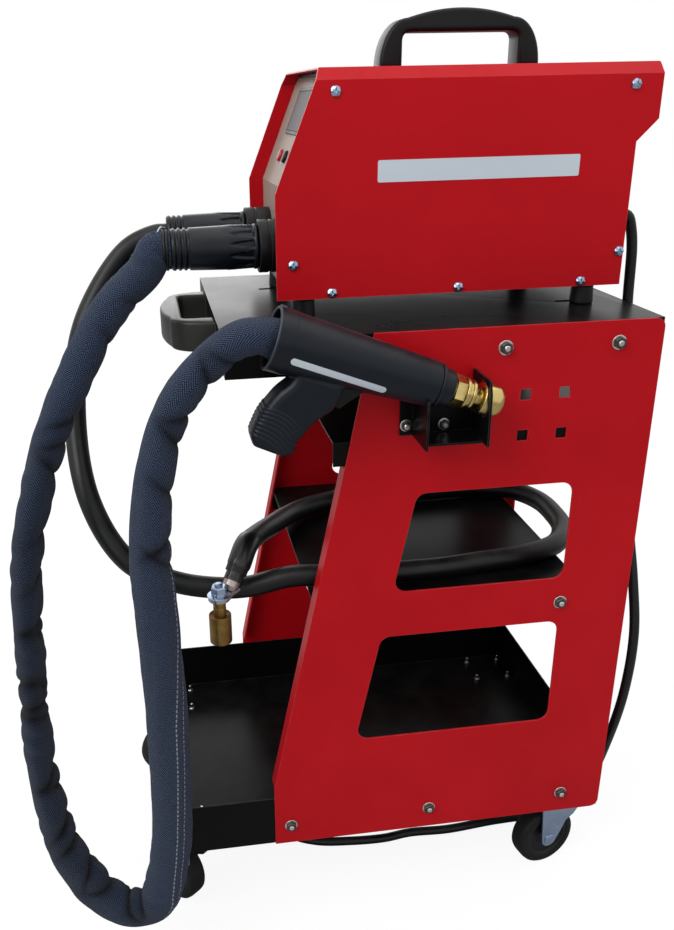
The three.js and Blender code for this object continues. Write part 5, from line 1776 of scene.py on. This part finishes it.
@dataclass
class GroundClamp:
    """The crimped lug, its bolt with washers and the brass electrode below it."""

    place: Place = (0.14, -0.17, 0.407)
    heading: float = 0.82
    rise: float = 0.85
    eye: float = 0.011
    thickness: float = 0.0037
    tongue: float = 0.018
    barrel: float = 0.0085
    barrel_length: float = 0.015

    def __post_init__(self) -> None:
        """Starts with no piece made."""
        self.pieces: list[Object] = []

    def frame(self) -> Matrix:
        """The clamp's frame: the tongue points along Y."""
        return moved(*self.place) @ Matrix.Rotation(self.heading, 4, "Z")

    def lift(self) -> float:
        """Height of the barrel's axis over the plate's middle."""
        return self.barrel * cos(self.rise) - self.thickness / 2 + SEAT

    def way(self) -> Vector:
        """The direction in which the cable leaves the lug."""
        flat = Vector((-sin(self.heading), cos(self.heading), 0.0)) * cos(self.rise)
        return Vector((flat.x, flat.y, sin(self.rise)))

    def mouth(self) -> Vector:
        """The middle of the barrel's open end, a seat past it."""
        foot = self.frame() @ Vector((0.0, self.tongue, self.lift()))
        return foot + self.way() * (self.barrel_length + SEAT)

    def build(self, shop: Shop) -> None:
        """Makes the lug, the bolt and the electrode.

        Args:
            shop: Where pieces go.
        """
        frame = self.frame()
        half, eye, bar = self.thickness / 2, self.eye, self.barrel
        lug = Solid()
        arc = [(eye * cos(a), eye * sin(a)) for a in np.linspace(0.35, -pi - 0.35, 30)]
        rim = [(-bar * 0.98, 0.013), (-bar * 0.92, self.tongue + 0.0066),
               (bar * 0.92, self.tongue + 0.0066), (bar * 0.98, 0.013)]
        lug.prism([*rim, *arc], -half, half, frame, 0.0005)
        tilt = frame @ moved(0.0, self.tongue, self.lift()) @ Matrix.Rotation(
            self.rise, 4, "X") @ TO_Y
        barrel = spindle(
            (-0.004, bar * 0.72), (0.0005, bar, 0.001), (self.barrel_length, bar, 0.0012),
            (self.barrel_length, bar * 0.72), (self.barrel_length - 0.003, bar * 0.7))
        lug.lathe(barrel, tilt, 40)
        self.keep(shop, lug.object("crimped_lug"), "tinned_copper", "ground_lug")

        bolt = Solid()
        foot = half + SEAT
        washer = spindle((0.0, 0.012, 0.0003), (0.0014, 0.012, 0.0005))
        bolt.lathe(washer, frame @ moved(0, 0, foot), 48)
        bolt.lathe(spindle((0.0, 0.0078), (0.001, 0.0078, 0.0004)),
                   frame @ moved(0, 0, foot + 0.0014), 36)
        bolt.lathe(spindle((0.0, 0.0078), (0.0022, 0.0078, 0.0004)),
                   frame @ moved(0, 0, foot + 0.0024), 36)
        hexagon(bolt, 0.0082, 0.007, frame @ moved(0, 0, foot + 0.0046))
        shank = [(-0.0177, 0.0), (-0.0177, 0.0034), (-0.017, 0.004), (foot, 0.004), (foot, 0.0)]
        bolt.lathe(shank, frame, 24)
        bolt.lathe([(0.0, 0.0), (0.0, 0.0042), (0.0022, 0.0042), (0.0026, 0.0036), (0.0026, 0.0)],
                   frame @ moved(0, 0, foot + 0.0114), 24)
        self.keep(shop, bolt.object("lug_bolt_set"), "blue_zinc", "lug_bolt")

        top = -half - SEAT
        profile = spindle(
            (top - 0.019, 0.0043), (top, 0.0043), (top, 0.0065, 0.0004), (top - 0.006, 0.0065),
            (top - 0.0065, 0.006), (top - 0.008, 0.006), (top - 0.0085, 0.0065),
            (top - 0.0165, 0.0065), (top - 0.0165, 0.0113, 0.0008), (top - 0.048, 0.0113, 0.0012))
        self.keep(shop, Solid().lathe(profile, frame, 56).object("electrode_pin"), "aged_brass",
                  "ground_electrode")

    def keep(self, shop: Shop, piece: Object, finish: str, node: str) -> None:
        """Adds one of the clamp's pieces and remembers it."""
        self.pieces.append(shop.add(piece, finish, replaces=[node]))


# Fasteners


def hexagon(solid: Solid, radius: float, height: float, place: Matrix) -> None:
    """Adds a hexagonal head with a chamfered crown to a solid.

    Args:
        solid: The solid that grows.
        radius: From the middle to a corner.
        height: Its height.
        place: Its frame.
    """
    solid.prism(circle(radius, 6), 0.0, height * 0.8, place)
    crown = [(height * 0.8, radius * 0.995), (height, radius * 0.86)]
    solid.lathe([(height * 0.79, 0.0), *crown, (height, 0.0)], place, 6)


def washer(solid: Solid, radius: float, height: float, place: Matrix) -> None:
    """Adds a stamped washer to a solid."""
    rim = spindle((0.0, radius), (height, radius, height * 0.4))
    solid.lathe(rim, place, 32)


class Head(Enum):
    """Kinds of fastener heads on the outside."""

    NUT = "hex nut on a wide washer"
    PAN = "pan head with a cross recess"
    STUD = "low nut with a standing bolt end"
    DOME = "small domed rivet"


def fastener(solid: Solid, head: Head, place: Matrix, reach: float = 0.0071) -> None:
    """Adds a fastener's visible end, standing up along +Z of its place.

    Args:
        solid: The solid that grows.
        head: Its kind.
        place: Where its seat is.
        reach: Radius of the washer under a nut.
    """
    if head is Head.NUT:
        hexagon(solid, reach * 0.86, 0.0034, place @ moved(0, 0, 0.0012))
    elif head is Head.STUD:
        hexagon(solid, 0.0042, 0.0024, place)
        solid.lathe([(0.001, 0.0), (0.001, 0.0019), (0.0082, 0.0019), (0.0088, 0.0013),
                     (0.0088, 0.0)], place, 16)
    elif head is Head.DOME:
        dome = [(0.0022 * sin(a), 0.0036 * cos(a)) for a in np.linspace(0, 1.5, 7)]
        solid.lathe([(0.0, 0.0), *dome, (0.0022, 0.0)], place, 24)
    else:
        rim = [(0.0, 0.0), (0.0, 0.0046), (0.0004, 0.0048), (0.0012, 0.0046), (0.0022, 0.0038),
               (0.0027, 0.0028), (0.0028, 0.0021), (0.0012, 0.0019), (0.001, 0.0)]
        solid.lathe(rim, place, 36, cross_recess)


def bolt_end(solid: Solid, place: Matrix, reach: float = 0.0071) -> None:
    """Adds the washer under a nut and the threaded end that stands out of it.

    Args:
        solid: The solid that grows.
        place: Its frame.
        reach: Radius of the washer.
    """
    washer(solid, reach, 0.0012, place)
    solid.lathe([(0.002, 0.0), (0.002, 0.0028), (0.0056, 0.0028), (0.0062, 0.0021), (0.0062, 0.0)],
                place, 20)


def cross_recess(angle: float, along: float) -> float:
    """Change of the recess's radius that gives it four arms."""
    arm = abs(cos(2 * angle)) ** 3
    return (-0.0011 * (1 - arm) + 0.0006 * arm) if 0.0013 < along else 0.0


# Cart


@dataclass
class Cart:
    """The steel cart: tray, shelves, side panels, push handle, gun holder and their bolts."""

    half_width: float = 0.162
    panel_bolts: tuple[Pair, ...] = (
        (0.1005, 0.6518), (0.2096, 0.6507), (0.1799, 0.3795), (-0.105, 0.1266), (0.051, 0.1288),
        (0.2057, 0.1284))
    near_bolts: tuple[Pair, ...] = ((-0.0086, 0.651),)

    def build(self, shop: Shop) -> None:
        """Dresses the sheet steel and adds the bolts.

        Args:
            shop: Where pieces go.
        """
        for node in ("bottom_tray", "top_shelf", "second_shelf", "middle_shelf"):
            shop.dress(node, "black_gloss", 0.0006)
        shop.dress("left_side_panel", "red_coat", 0.0005)
        shop.dress("right_side_panel", "red_coat")
        shop.dress("gun_holder", "black_gloss", 0.0005)
        self.bolts(shop)
        handle = shop_handle("push_handle_casting", moved(0.0, -0.1563, 0.656) @ Matrix.Rotation(
            pi, 4, "X"))
        shop.add(handle, "olive_moulding", replaces=["push_handle"])

    def bolts(self, shop: Shop) -> None:
        """Makes the bolts of the panels, the shelves' flanges, the tray and the holder.

        Args:
            shop: Where pieces go.
        """
        panels, ends = Solid(), Solid()
        for side, places in ((1, (*self.panel_bolts, *self.near_bolts)), (-1, self.panel_bolts)):
            for y, z in places:
                seat = moved(side * self.half_width, y, z) @ outward(side)
                fastener(panels, Head.NUT, seat)
                bolt_end(ends, seat)
        # The hex nuts are darkened steel, painted shade; the washers and bolt ends stay bright
        shop.add(panels.object("panel_nuts"), "nut_steel_painted_shade")
        inner = Solid()
        for x, y in ((0.122, 0.223), (0.122, -0.223), (-0.122, 0.223), (-0.122, -0.223)):
            for across, back in ((-0.0215, -0.0225), (0.0215, -0.0225), (-0.0215, 0.0225),
                                 (0.0215, 0.0225)):
                fastener(inner, Head.STUD, moved(x + across, y + back, 0.1035))
        for y in (0.201, -0.109):
            for side in (-1, 1):
                fastener(inner, Head.DOME, moved(side * 0.1605, y, 0.134) @ outward(-side))
        shop.add(inner.object("tray_nuts"), "plain_steel")
        holder = Solid()
        for y, z in ((0.0088, 0.5845), (0.045, 0.5835)):
            fastener(holder, Head.NUT, moved(0.1643, y, z) @ TO_X, 0.0058)
            bolt_end(ends, moved(0.1643, y, z) @ TO_X, 0.0058)
        # Darkened steel on these hex nuts too: painted shade
        shop.add(holder.object("holder_nuts"), "nut_steel_painted_shade")
        shop.add(ends.object("bolt_ends"), "plain_steel")


def shop_handle(name: str, place: Matrix) -> Object:
    """The moulded handle that serves both as push handle and as carry handle.

    Args:
        name: The piece's name.
        place: Its frame: the span along X, the rise along Y.

    Returns:
        The new object.
    """
    half, opening, rise, bar, depth, corner = 0.0785, 0.0568, 0.0507, 0.0201, 0.03, 0.008
    crown, shoulder, shoulder_rise = half * 0.66, half * 0.84, rise * 0.84
    left = bezier((-half, 0.0), (-half, rise / 2), (-shoulder, shoulder_rise),
                  (-crown, shoulder_rise), steps=14)
    left += bezier((-crown, shoulder_rise), (-half / 3, rise), (0.0, rise), steps=12)
    outer = [*left, (0.0, rise), *((-a, b) for a, b in reversed(left))]
    sill = rise - bar
    inner = bezier((opening, sill - corner), (opening, sill), (opening - corner, sill), steps=8)
    inner = [(opening, 0.0), *inner, (opening - corner, sill)]
    loop = [*outer, *inner, *((-a, b) for a, b in reversed(inner))]
    return plate(name, loop, depth, place, edge=0.0035)


# Casters


@dataclass
class Caster:
    """A swivel caster: plate with race, fork with axle, wheel with tyre."""

    name: str
    x: float
    y: float
    heading: float
    trail: float = 0.016
    radius: float = 0.0375
    arm_inner: float = 0.0125
    sheet: float = 0.0025

    def build(self, shop: Shop) -> None:
        """Makes the caster's plate, fork and wheel.

        Args:
            shop: Where pieces go.
        """
        self.plate(shop)
        fork_place = moved(self.x, self.y, 0.0) @ Matrix.Rotation(self.heading, 4, "Z")
        self.fork(shop, fork_place)
        self.wheel(shop, fork_place @ moved(0.0, -self.trail, self.radius))

    def plate(self, shop: Shop) -> None:
        """Makes the plate, its bolts, the ball race and the kingpin's head.

        Args:
            shop: Where pieces go.
        """
        place = moved(self.x, self.y, 0.0)
        outline = pane((-0.028, -0.029), (0.028, 0.029), 0.006, 5)
        made = Solid().prism(outline, 0.0992, 0.1017, place, 0.0004)
        race = spindle(
            (0.0989, 0.0205), (0.0993, 0.024), (0.0965, 0.024, 0.0012), (0.0942, 0.0225, 0.0006),
            (0.0942, 0.006), (0.0911, 0.006), (0.0911, 0.0095, 0.0008), (0.0881, 0.0085, 0.0006))
        made.lathe(race, place, 56)
        down = Matrix.Rotation(pi, 4, "X")
        for a in (-1, 1):
            for b in (-1, 1):
                hexagon(made, 0.0052, 0.0038, place @ moved(a * 0.0215, b * 0.0225, 0.0992) @ down)
        shop.add(made.object(self.name + "_swivel_plate"), "blue_zinc",
                 replaces=[self.name + "_plate"])

    def fork(self, shop: Shop, place: Matrix) -> None:
        """Makes the crown, the two arms and the axle's heads.

        Args:
            shop: Where pieces go.
            place: The fork's frame.
        """
        made = Solid()
        crown = turning((0.0914, 0.0063), (0.0914, 0.0228, 0.0008), (0.0939, 0.024, 0.0008),
                        (0.0939, 0.0063), (0.0914, 0.0063))
        made.lathe(crown, place, 56)
        foot, low = 0.01, 0.0375
        arc = [(-self.trail + foot * cos(a), low + foot * sin(a))
               for a in np.linspace(-0.35, -pi + 0.05, 18)]
        outline = [(0.0225, 0.0932), (0.0215, 0.072), (0.016, 0.065), (0.006, 0.059), (0.0, 0.046),
                   *arc, (-0.0266, 0.0425), (-0.03, 0.0932)]
        for side in (-1, 1):
            middle = side * (self.arm_inner + self.sheet / 2)
            made.prism(outline, -self.sheet / 2, self.sheet / 2, place @ upright(middle), 0.0004)
            outer = side * (self.arm_inner + self.sheet)
            head = place @ moved(outer, -self.trail, low) @ outward(side)
            made.lathe([(0.0, 0.0), (0.0, 0.007), (0.001, 0.007), (0.0017, 0.0058),
                        (0.002, 0.0036), (0.002, 0.0)], head, 32)
        axle = place @ moved(0.0, -self.trail, low) @ TO_X
        made.lathe([(-0.0125, 0.0), (-0.0125, 0.004), (0.0125, 0.004), (0.0125, 0.0)], axle, 24)
        body = self.name.replace("_caster", "_swivel")
        shop.add(made.object(self.name + "_fork_pressing"), "blue_zinc", body,
                 [self.name + "_fork"])

    def wheel(self, shop: Shop, place: Matrix) -> None:
        """Makes the tyre and the wheel's disc.

        Args:
            shop: Where pieces go.
            place: The axle's frame.
        """
        half = 0.011
        half_tyre = [(0.0088, 0.0262), (half - 0.0004, 0.028), (half, 0.0292), (half, 0.033),
                     (half - 0.0006, 0.0352), (half - 0.0022, 0.0368), (half - 0.005, 0.0374),
                     (0.004, 0.0375)]
        ring = [*half_tyre, *((-a, r) for a, r in reversed(half_tyre)), half_tyre[0]]
        body = self.name.replace("_caster", "_roller")
        shop.turn(self.name + "_tyre", ring, place @ TO_X, 96, "tyre_rubber", body,
                  [self.name + "_wheel"])
        hub = [(half + 0.0012, 0.0043), (half + 0.0012, 0.0082), (half + 0.0004, 0.009),
               (0.0086, 0.0112), (0.0078, 0.013), (0.0078, 0.0225), (0.0084, 0.024),
               (0.0098, 0.0252), (0.0098, 0.0268), (0.008, 0.0275)]
        loop = [*hub, *((-a, r) for a, r in reversed(hub)), hub[0]]
        shop.turn(self.name + "_wheel_disc", loop, place @ TO_X, 96, "black_moulding", body)


# Welder


@dataclass
class WelderCase:
    """Hood, floor, front and rear panels with their screws, feet and carry handle."""

    half_width: float = 0.1016
    depth: float = 0.3348
    strip: tuple[float, float, float, float] = (-0.007, 0.7935, 0.182, 0.8123)
    screws: tuple[Pair, ...] = (
        (-0.0456, 0.8695), (0.228, 0.87), (-0.0845, 0.7237), (0.23, 0.7237), (-0.0484, 0.697),
        (0.0729, 0.697), (0.1943, 0.697))

    def build(self, shop: Shop) -> None:
        """Dresses the case and adds what is fixed to it.

        Args:
            shop: Where pieces go.
        """
        for row in (("machine_cover", "red_coat", 0.0008, 20.0),
                    ("machine_base", "black_gloss", 0.0005),
                    ("front_panel", "face_grey", 0.0006, 15.0),
                    ("rear_panel", "face_grey", 0.0005), ("cooling_fan", "black_moulding", 0.0006),
                    ("power_switch", "red_moulding", 0.0008),
                    ("control_board", "board_green", 0.0002),
                    ("transformer_core", "core_stack", 0.0006),
                    ("primary_winding", "wound_wire", 0.002),
                    ("secondary_bar", "bare_copper", 0.0008)):
            shop.dress(*row)
        made = Solid()
        for side in (1, -1):
            for y, z in self.screws:
                seat = moved(side * (self.half_width + 0.0001), y, z)
                fastener(made, Head.PAN, seat @ outward(side))
        shop.add(made.object("case_screws"), "blue_zinc")
        self.side_strip(shop)
        self.feet(shop)
        handle = shop_handle("carry_handle_casting", upright(0.0, 0.093, 0.8889))
        shop.add(handle, "black_moulding", replaces=["carry_handle"])

    def side_strip(self, shop: Shop) -> None:
        """Makes the bare pale strip on the near side of the hood.

        Args:
            shop: Where pieces go.
        """
        y0, z0, y1, z1 = self.strip
        outline = pane((y0, z0), (y1, z1), 0.0015, 4)
        strip = Solid().prism(outline, 0.00003, 0.0003, upright(self.half_width))
        shop.add(strip.object("side_strip"), "white_strip")

    def feet(self, shop: Shop) -> None:
        """Makes the four rubber feet, each with its own node to stand for.

        Args:
            shop: Where pieces go.
        """
        for end, y in (("front", 0.028), ("rear", self.depth - 0.028)):
            for side, x in (("left", 0.082), ("right", -0.082)):
                profile = spindle((-0.0003, 0.0115), (-0.0025, 0.0115, 0.0005), (-0.0032, 0.0104),
                                  (-0.017, 0.0112), (-0.0202, 0.0112, 0.0014))
                node = f"{end}_{side}_leg"
                shop.turn(node + "_foot", profile, WELDER @ moved(x, y, 0.0), 40, "black_rubber",
                          replaces=[node])


@dataclass
class Controls:
    """Display window with its bezel, the three buttons on the sloped face and a black strip of
    painted shadow under the hood's top.
    """

    display_up: float = 0.072
    button_up: float = 0.028
    pitch: float = 0.032
    radius: float = 0.006
    proud: float = 0.003

    def build(self, shop: Shop) -> None:
        """Dresses the display and makes its bezel and the buttons.

        Args:
            shop: Where pieces go.
        """
        shop.dress("display_window", "smoked_window", 0.0004)
        bezel = pane((-0.0475, -0.0225), (0.0475, 0.0225), 0.003, 5)
        opening = pane((-0.0442, -0.0192), (0.0442, 0.0192), 0.001, 3)
        place = CONTROL_FACE @ moved(0.0, -0.0009, self.display_up) @ Matrix.Rotation(
            pi / 2, 4, "X")
        shop.add(plate("display_bezel", bezel, 0.0018, place, [opening], 0.0005), "black_moulding")
        # A black strip under the hood's top edge: painted shadow of the hood's overhang on the
        # sloped face
        shadow_strip = Solid().box((-0.086, -0.0022, 0.105), (0.086, -0.0002, 0.109), 0.0006, CONTROL_FACE)
        shop.add(shadow_strip.object("face_top_shadow_strip"), "black_moulding")
        buttons = (("mode_button", "mode_key", "red_moulding"),
                   ("up_button", "up_key", "black_moulding"),
                   ("down_button", "down_key", "black_moulding"))
        for i, (node, body, finish) in enumerate(buttons):
            at = CONTROL_FACE @ moved((i - 1) * self.pitch, 0.0, self.button_up) @ TO_Y
            cap = [(-self.proud, 0.0), (-self.proud, 0.0036), (-self.proud + 0.0003, 0.005),
                   (-self.proud + 0.001, 0.0058), (-self.proud + 0.0018, self.radius),
                   (0.0023, self.radius), (0.0023, 0.008), (0.0035, 0.008), (0.0035, 0.0025),
                   (0.006, 0.0025), (0.006, 0.0)]
            shop.turn(node + "_cap", cap, at, 40, finish, body, [node])


@dataclass
class Outputs:
    """The two output sockets and the cable plugs in them."""

    height: float = 0.7357
    spread: float = 0.055
    face: float = -0.1113

    def build(self, shop: Shop) -> None:
        """Makes both sockets and both plugs.

        Args:
            shop: Where pieces go.
        """
        for name, x in (("gun", self.spread), ("ground", -self.spread)):
            place = moved(x, self.face, self.height) @ TO_Y
            self.socket(shop, name, place)
            self.plug(shop, name, place @ moved(0, 0, -SEAT))

    def socket(self, shop: Shop, name: str, place: Matrix) -> None:
        """Makes a socket's moulded body and the stud behind it.

        Args:
            shop: Where pieces go.
            name: The output's name.
            place: Its frame.
        """
        body = spindle(
            (0.024, 0.0093), (0.0, 0.0093), (0.0, 0.0222), (0.0, 0.0245, 0.0012),
            (0.009, 0.0245, 0.0004), (0.0095, 0.0237), (0.011, 0.0237), (0.0115, 0.0245, 0.0004),
            (0.026, 0.0245, 0.0006), (0.026, 0.0167), (0.032, 0.0167, 0.0005))
        shop.turn(name + "_socket_body", body, place, 72, "black_moulding",
                  replaces=[name + "_socket"])
        stud = spindle((0.0318, 0.007), (0.06, 0.007, 0.0008))
        shop.turn(name + "_socket_stud", stud, place, 32, "turned_brass")

    def plug(self, shop: Shop, name: str, place: Matrix) -> None:
        """Makes a cable plug's rubber cover and its pin, seen from the socket's face.

        Args:
            shop: Where pieces go.
            name: The output's name.
            place: Its frame.
        """
        shape = [(0.0, 0.0), (0.0, 0.0185), (-0.0004, 0.0199), (-0.0016, 0.02075),
                 (-0.0034, 0.02075), (-0.0042, 0.02)]
        shape += [(-0.0042 - 0.0013 * k, 0.02 + 0.00004 * k) for k in range(1, 19)]
        shape += [(-0.029, 0.02065), (-0.031, 0.0204), (-0.05, 0.0199), (-0.0635, 0.0196)]
        for k in range(3):
            at = -0.0646 - 0.0052 * k
            shape += [(at, 0.0194), (at - 0.0006, 0.0183), (at - 0.0017, 0.018),
                      (at - 0.0026, 0.0184), (at - 0.0032, 0.0193), (at - 0.0042, 0.0195)]
        shape += [(-0.0812, 0.0187), (-0.082, 0.0176), (-0.082, 0.0)]
        cover = Solid().lathe(shape, place, 144, self.flute)
        node = name + "_cable_plug"
        shop.add(cover.object(node + "_cover", 50.0), "plug_rubber", name + "_plug", [node])
        pin = spindle((-0.002, 0.009), (0.023, 0.009, 0.0012))
        shop.turn(node + "_pin", pin, place, 40, "turned_brass", name + "_plug")

    @staticmethod
    def flute(angle: float, along: float) -> float:
        """Depth of the pointed grip flutes on the plug's front third.

        Args:
            angle: Angle round the piece.
            along: Distance from the start.

        Returns:
            The change of the radius.
        """
        if not -0.0285 < along < -0.0044:
            return 0.0
        share = (-0.0044 - along) / 0.0241
        width = 0.62 * (1 - share) ** 0.8
        beat = abs(sin(6 * angle))
        return -0.0022 * min(1.0, max(0.0, (width - (1 - beat)) * 5)) * (1 - 0.35 * share)


# Pulling gun


@dataclass
class PullingGun:
    """The gun's shells, nose, chuck, nozzle and trigger, in the gun's own frame."""

    length: float = 0.1417
    tail: float = 0.0275
    front: float = 0.0205
    grip_half: float = 0.016
    grip_steps: int = 8

    def build(self, shop: Shop) -> None:
        """Makes all of the gun.

        Args:
            shop: Where pieces go.
        """
        self.shells(shop)
        self.tip(shop)
        outline = rounded([(0.0548, -0.0218), (0.0548, -0.0395), (0.065, -0.043, 0.003),
                           (0.0715, -0.034, 0.008), (0.0818, -0.0218)], 5)
        trigger = Solid().prism(outline, -0.006, 0.006, GUN @ upright(), 0.001)
        shop.add(trigger.object("trigger_blade"), "black_moulding", "trigger", ["gun_trigger"])
        shop.dress("trigger_switch", "black_moulding", 0.0004)
        shop.dress("gun_conductor", "bare_copper")

    def shells(self, shop: Shop) -> None:
        """Makes the two half shells: barrel and grip in one skin, cut along the middle.

        Args:
            shop: Where pieces go.
        """
        rough = Solid()
        barrel = spindle((0.0, self.tail, 0.0008), (0.004, self.tail - 0.0001),
                         (self.length, self.front, 0.0015))
        rough.lathe(barrel, TO_Y, 72)
        outline = rounded([
            (0.0638, -0.0165), (0.0165, -0.0165), (0.0161, -0.0283, 0.02), (0.0067, -0.041, 0.04),
            (-0.0026, -0.0633, 0.06), (-0.0046, -0.0851, 0.012), (0.0015, -0.0935, 0.006),
            (0.0278, -0.0962, 0.008), (0.0378, -0.0917, 0.006), (0.0371, -0.0803, 0.01),
            (0.048, -0.057, 0.02), (0.059, -0.044, 0.006)], 5)
        rough.prism(outline, -self.grip_half, self.grip_half, upright(), 0.0075)
        skin = melted("gun_skin", rough, 0.0008, 4)
        self.reshape(skin)
        for node, side in (("gun_left_shell", 1), ("gun_right_shell", -1)):
            half = skin.data.copy()
            half.name = node
            made = bmesh.new()
            made.from_mesh(half)
            parts = [*made.verts, *made.edges, *made.faces]
            cut = bmesh.ops.bisect_plane(made, geom=parts, plane_co=(side * 0.00012, 0, 0),
                                         plane_no=(side, 0, 0), clear_inner=True)["geom_cut"]
            rim = [e for e in cut if isinstance(e, bmesh.types.BMEdge)]
            bmesh.ops.triangle_fill(made, use_beauty=False, use_dissolve=False, edges=rim)
            bmesh.ops.recalc_face_normals(made, faces=made.faces)
            made.to_mesh(half)
            made.free()
            half.transform(GUN)
            shop.add(finished_object(node + "_moulding", half, 50.0), "navy_moulding",
                     replaces=[node])
        rough_mesh = skin.data
        bpy.data.objects.remove(skin)
        bpy.data.meshes.remove(rough_mesh)

    def reshape(self, skin: Object) -> None:
        """Adds the curved ribs of the grip to the skin.

        Args:
            skin: The gun's skin.
        """
        mesh = skin.data
        place, normal = np.zeros(len(mesh.vertices) * 3), np.zeros(len(mesh.vertices) * 3)
        mesh.vertices.foreach_get("co", place)
        mesh.vertices.foreach_get("normal", normal)
        place, normal = place.reshape(-1, 3), normal.reshape(-1, 3)
        down = np.array((0.0, -0.34, -0.94))
        across = np.array((0.0, 0.94, -0.34))
        along = place @ down
        side = place @ across
        bowed = along - 12.0 * (side - 0.04) ** 2
        low, high = 0.046, 0.078
        inside = np.clip((bowed - low) / 0.002, 0, 1) * np.clip((high - bowed) / 0.002, 0, 1)
        wave = np.abs(np.sin(np.pi * (bowed - low) / (high - low) * self.grip_steps))
        lift = 0.0011 * inside * wave ** 0.7 * (place[:, 2] < -0.03)
        place += normal * (lift - 0.0004 * inside * (place[:, 2] < -0.03))[:, None]
        mesh.vertices.foreach_set("co", place.ravel())
        mesh.update()

    def tip(self, shop: Shop) -> None:
        """Makes the tail ring, the nose, the brass chuck and the brass nozzle.

        Args:
            shop: Where pieces go.
        """
        skirt = turning((-0.0092, 0.0256), (-0.0092, 0.0276), (0.005, 0.0278, 0.0006),
                        (0.0056, 0.0262), (-0.0092, 0.0256))
        shop.turn("gun_tail_skirt", skirt, GUN @ TO_Y, 72, "navy_moulding")
        ring = turning((-0.0108, 0.0255), (-0.0108, 0.028, 0.0008), (-0.009, 0.028, 0.0006),
                       (-0.009, 0.0255), (-0.0108, 0.0255))
        rim = Solid().lathe(ring, GUN @ TO_Y, 72)
        rim.box((-0.0035, -0.0106, 0.0272), (0.0035, -0.005, 0.0292), 0.0008, GUN)
        shop.add(rim.object("gun_tail_rim"), "grey_rim")
        shop.add(self.label(), "white_strip")
        nose = turning(
            (0.142, 0.0053), (0.142, 0.02, 0.001), (0.1452, 0.02, 0.001), (0.146, 0.0166, 0.0008),
            (0.156, 0.017, 0.0022), (0.157, 0.012), (0.157, 0.0053), (0.142, 0.0053))
        shop.turn("gun_nose_collar", nose, GUN @ TO_Y, 72, "navy_moulding", replaces=["gun_nose"])
        start = 0.1573
        chuck = spindle(
            (start, 0.0118), (start + 0.0112, 0.0118), (start + 0.0114, 0.0142, 0.0006),
            (start + 0.014, 0.0142, 0.0006), (start + 0.0146, 0.012), (start + 0.0172, 0.012),
            (start + 0.0176, 0.0134, 0.0005), (start + 0.02, 0.0134, 0.0005),
            (start + 0.0215, 0.0112, 0.0006), (start + 0.022, 0.0083), (start + 0.011, 0.0083))
        nut = Solid().lathe(chuck, GUN @ TO_Y, 72)
        nut.prism(circle(0.015, 6, start=0.3), start + 0.0008, start + 0.0106, GUN @ TO_Y, 0.0009)
        shop.add(nut.object("hex_chuck", 25.0), "turned_brass", "chuck", ["gun_chuck"])
        mouth = start + 0.0223
        nozzle = spindle(
            (start + 0.0113, 0.008), (mouth + 0.005, 0.008), (mouth + 0.0058, 0.0138),
            (mouth + 0.0066, 0.015, 0.0008), (mouth + 0.0215, 0.0152, 0.005),
            (mouth + 0.0262, 0.0122, 0.004), (mouth + 0.0272, 0.0052), (mouth + 0.0252, 0.0046))
        shop.turn("brass_nozzle", nozzle, GUN @ TO_Y, 72, "turned_brass", replaces=["gun_nozzle"])

    def label(self) -> Object:
        """Makes the bare pale strip that lies round the near side of the barrel.

        Returns:
            The new object, a thin closed skin.
        """
        start, end, half = Vector((0.006, -0.009)), Vector((0.095, -0.0134)), 0.0031
        whole = (end - start).length
        rows, columns = 60, 9
        points: list[Place] = []
        for i in range(rows + 1):
            at = whole * (1 - cos(pi * i / rows)) / 2
            to_end = min(at, whole - at, half)
            wide = sqrt(max(half ** 2 - (half - to_end) ** 2, 1e-8))
            centre = start.lerp(end, at / whole)
            share = (centre.x - 0.004) / (self.length - 0.004)
            radius = self.tail - 0.0001 + (self.front - self.tail + 0.0001) * share
            heights = [centre.y + wide * (2 * k / (columns - 1) - 1) for k in range(columns)]
            for reach, level in ((radius + 0.0003, heights), (radius - 0.0006, heights[::-1])):
                points += [(sqrt(reach ** 2 - height ** 2), centre.x, height) for height in level]
        girth = 2 * columns
        faces = bands(rows + 1, girth)
        for foot in (0, rows * girth):
            faces += [(foot + k, foot + k + 1, foot + girth - 2 - k, foot + girth - 1 - k)
                      for k in range(columns - 1)]
        return Solid().add(points, faces, GUN).object("gun_side_strip")


def main() -> None:
    """Builds the studio and every sub-assembly in order."""
    logging.basicConfig(level=logging.INFO, format="%(message)s", stream=sys.stdout)
    for block in (bpy.data.objects, bpy.data.meshes, bpy.data.lights, bpy.data.cameras):
        for item in list(block):
            block.remove(item)
    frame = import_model()
    shop = Shop(frame)
    Studio().build(shop)
    clamp = GroundClamp()
    clamp.build(shop)
    GunHose().build(shop)
    GroundCable().build(shop, clamp)
    MainsLead().build(shop)
    Cart().build(shop)
    for name, x, y, heading in (("front_left_caster", 0.122, -0.223, -0.87),
                                ("front_right_caster", -0.122, -0.223, 0.5),
                                ("rear_left_caster", 0.122, 0.223, 0.25),
                                ("rear_right_caster", -0.122, 0.223, 0.2)):
        Caster(name, x, y, heading).build(shop)
    WelderCase().build(shop)
    Controls().build(shop)
    Outputs().build(shop)
    PullingGun().build(shop)


if __name__ == "__main__":
    main()
